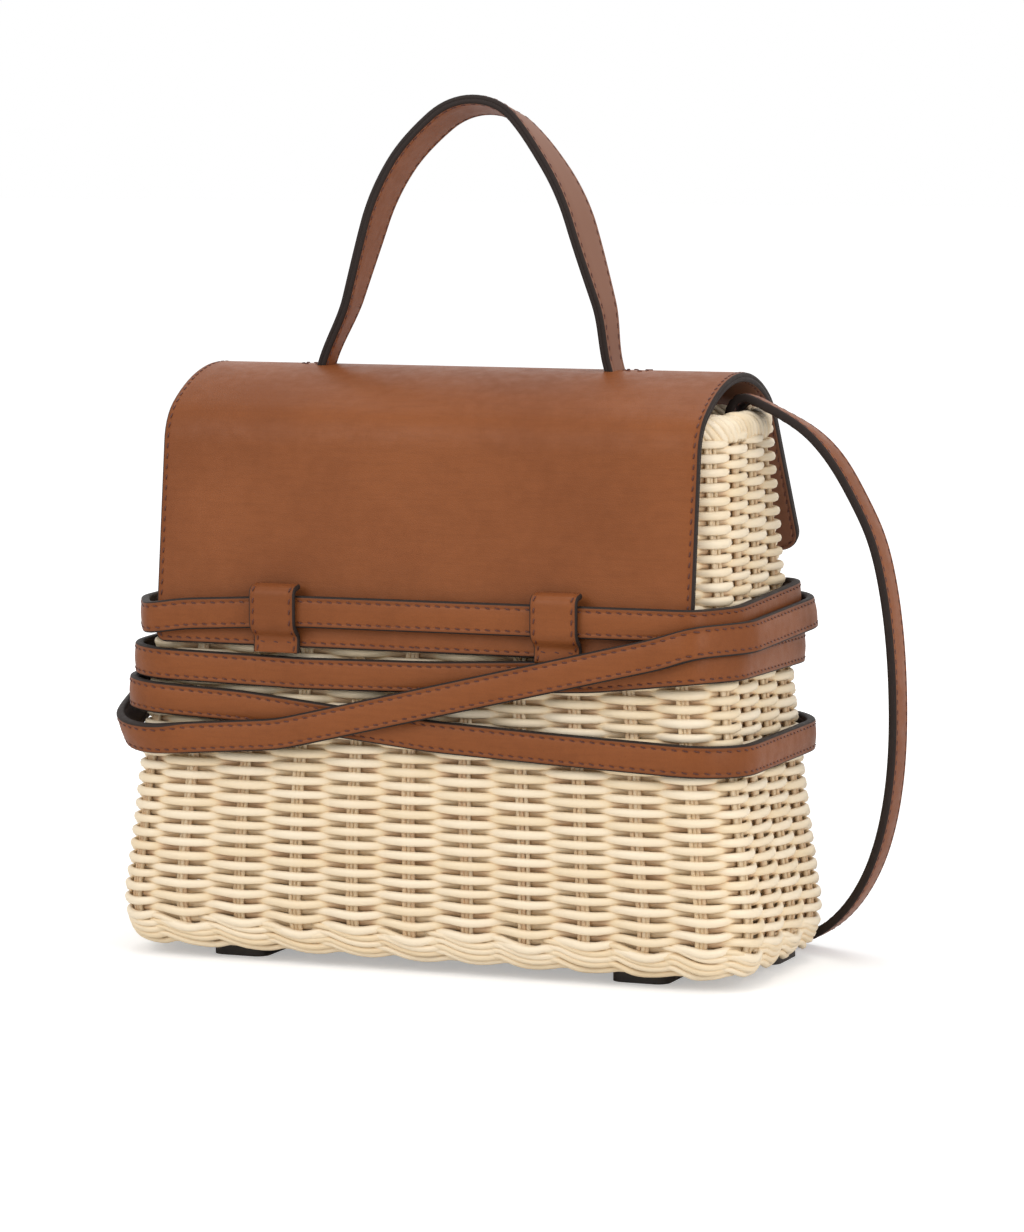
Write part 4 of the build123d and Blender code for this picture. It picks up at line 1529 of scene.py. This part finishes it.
def floor_plane():
    """A wide pale floor that keeps the bag's shadow and meets a white background.

    To the camera it glows a little, and more so away from the bag, where the lamps don't reach."""
    reach = 14.0
    near, far = 0.40, 0.95
    glow_near, glow_far = 0.37, 0.62
    mesh = bpy.data.meshes.new("floor")
    corners = [(-reach, -reach, 0.0), (reach, -reach, 0.0), (reach, reach, 0.0), (-reach, reach, 0.0)]
    mesh.from_pydata(corners, [], [(0, 1, 2, 3)])
    floor = bpy.data.objects.new("floor", mesh)
    bpy.context.scene.collection.objects.link(floor)
    material = bpy.data.materials.new("pale_floor")
    material.use_nodes = True
    tree = material.node_tree
    tree.nodes.clear()
    plain = add(tree, "ShaderNodeBsdfDiffuse", Color=settings("tote_colour").floor).outputs[0]
    spread = add(tree, "ShaderNodeVectorMath", {"operation": "LENGTH"}, Vector=object_place(tree))
    strength = mapped(tree, spread.outputs["Value"], near, far, glow_near, glow_far)
    glow = add(tree, "ShaderNodeEmission", Color=WHITE, Strength=strength).outputs[0]
    both = add(tree, "ShaderNodeAddShader")
    fill(tree, both.inputs[0], plain)
    fill(tree, both.inputs[1], glow)
    seen = add(tree, "ShaderNodeLightPath").outputs["Is Camera Ray"]
    add(tree, "ShaderNodeOutputMaterial", Surface=chosen(tree, seen, plain, both.outputs[0]))
    mesh.materials.append(material)


def studio_lights():
    """A large soft key at the front left, a fill at the right, a top light and a white world."""
    aim = Vector((0.0, 0.0, 0.16))
    for name, place, across, power in (
        ("key", (-1.1, -1.9, 1.5), 1.8, 22.0),
        ("fill", (2.0, -0.9, 0.9), 1.6, 19.0),
        ("top", (0.1, 0.3, 2.2), 1.8, 16.0),
    ):
        lamp = bpy.data.lights.new(name, "AREA")
        lamp.shape = "DISK"
        lamp.size = across
        lamp.energy = power
        light = bpy.data.objects.new(name, lamp)
        light.location = place
        light.rotation_euler = (aim - Vector(place)).to_track_quat("-Z", "Y").to_euler()
        bpy.context.scene.collection.objects.link(light)
    world = bpy.data.worlds.new("studio")
    bpy.context.scene.world = world
    world.use_nodes = True
    tree = world.node_tree
    tree.nodes.clear()
    rays = add(tree, "ShaderNodeLightPath").outputs
    seen = maths(tree, "ADD", rays["Is Camera Ray"], rays["Is Transmission Ray"], True)
    seen = maths(tree, "ADD", seen, rays["Is Glossy Ray"], True)
    dim = add(tree, "ShaderNodeBackground", Color=WHITE, Strength=0.55).outputs[0]
    white = add(tree, "ShaderNodeBackground", Color=WHITE, Strength=1.0).outputs[0]
    add(tree, "ShaderNodeOutputWorld", Surface=chosen(tree, seen, dim, white))
    bpy.context.scene.view_settings.view_transform = "Standard"


def photo_camera():
    """The camera at the photograph's angle: a long lens, a little above and to the right."""
    data = bpy.data.cameras.new("photo")
    data.lens = VIEW_LENS
    data.sensor_width = 36.0
    data.clip_end = 60.0
    camera = bpy.data.objects.new("photo", data)
    side = math.radians(VIEW_TURN)
    above = math.radians(VIEW_RISE)
    back = Vector((
        math.sin(side) * math.cos(above), -math.cos(side) * math.cos(above), math.sin(above),
    ))
    camera.location = Vector(VIEW_POINT) + back * VIEW_DISTANCE
    camera.rotation_mode = "QUATERNION"
    camera.rotation_quaternion = (-back).to_track_quat("-Z", "Y")
    bpy.context.scene.collection.objects.link(camera)
    bpy.context.scene.camera = camera


class TOTE_PT_panel(bpy.types.Panel):
    """Lists the tote bag's steps and settings"""

    bl_label = "Tote Bag"
    bl_idname = "TOTE_PT_panel"
    bl_space_type = "VIEW_3D"
    bl_region_type = "UI"
    bl_category = "Tote Bag"

    def draw(self, context):
        for operator in OPERATORS:
            self.layout.operator(operator.bl_idname)
        for name, group in GROUPS.items():
            box = self.layout.box()
            values = getattr(context.scene, name)
            for key in group.__annotations__:
                box.prop(values, key)


OPERATORS = (
    TOTE_OT_stage, TOTE_OT_basket, TOTE_OT_flap, TOTE_OT_handle, TOTE_OT_belt,
    TOTE_OT_shoulder_strap, TOTE_OT_feet,
)


def register():
    """Registers the settings, the operators and the panel."""
    for name, group in GROUPS.items():
        bpy.utils.register_class(group)
        setattr(bpy.types.Scene, name, PointerProperty(type=group))
    for item in (*OPERATORS, TOTE_PT_panel):
        bpy.utils.register_class(item)


def unregister():
    """Takes everything off again, the last one first."""
    for item in (TOTE_PT_panel, *OPERATORS[::-1]):
        bpy.utils.unregister_class(item)
    for name, group in reversed(GROUPS.items()):
        delattr(bpy.types.Scene, name)
        bpy.utils.unregister_class(group)


def main():
    """Registers the add-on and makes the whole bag."""
    register()
    bpy.ops.tote.stage()
    bpy.ops.tote.basket()
    bpy.ops.tote.flap()
    bpy.ops.tote.handle()
    bpy.ops.tote.belt()
    bpy.ops.tote.shoulder_strap()
    bpy.ops.tote.feet()


if __name__ == "__main__":
    main()
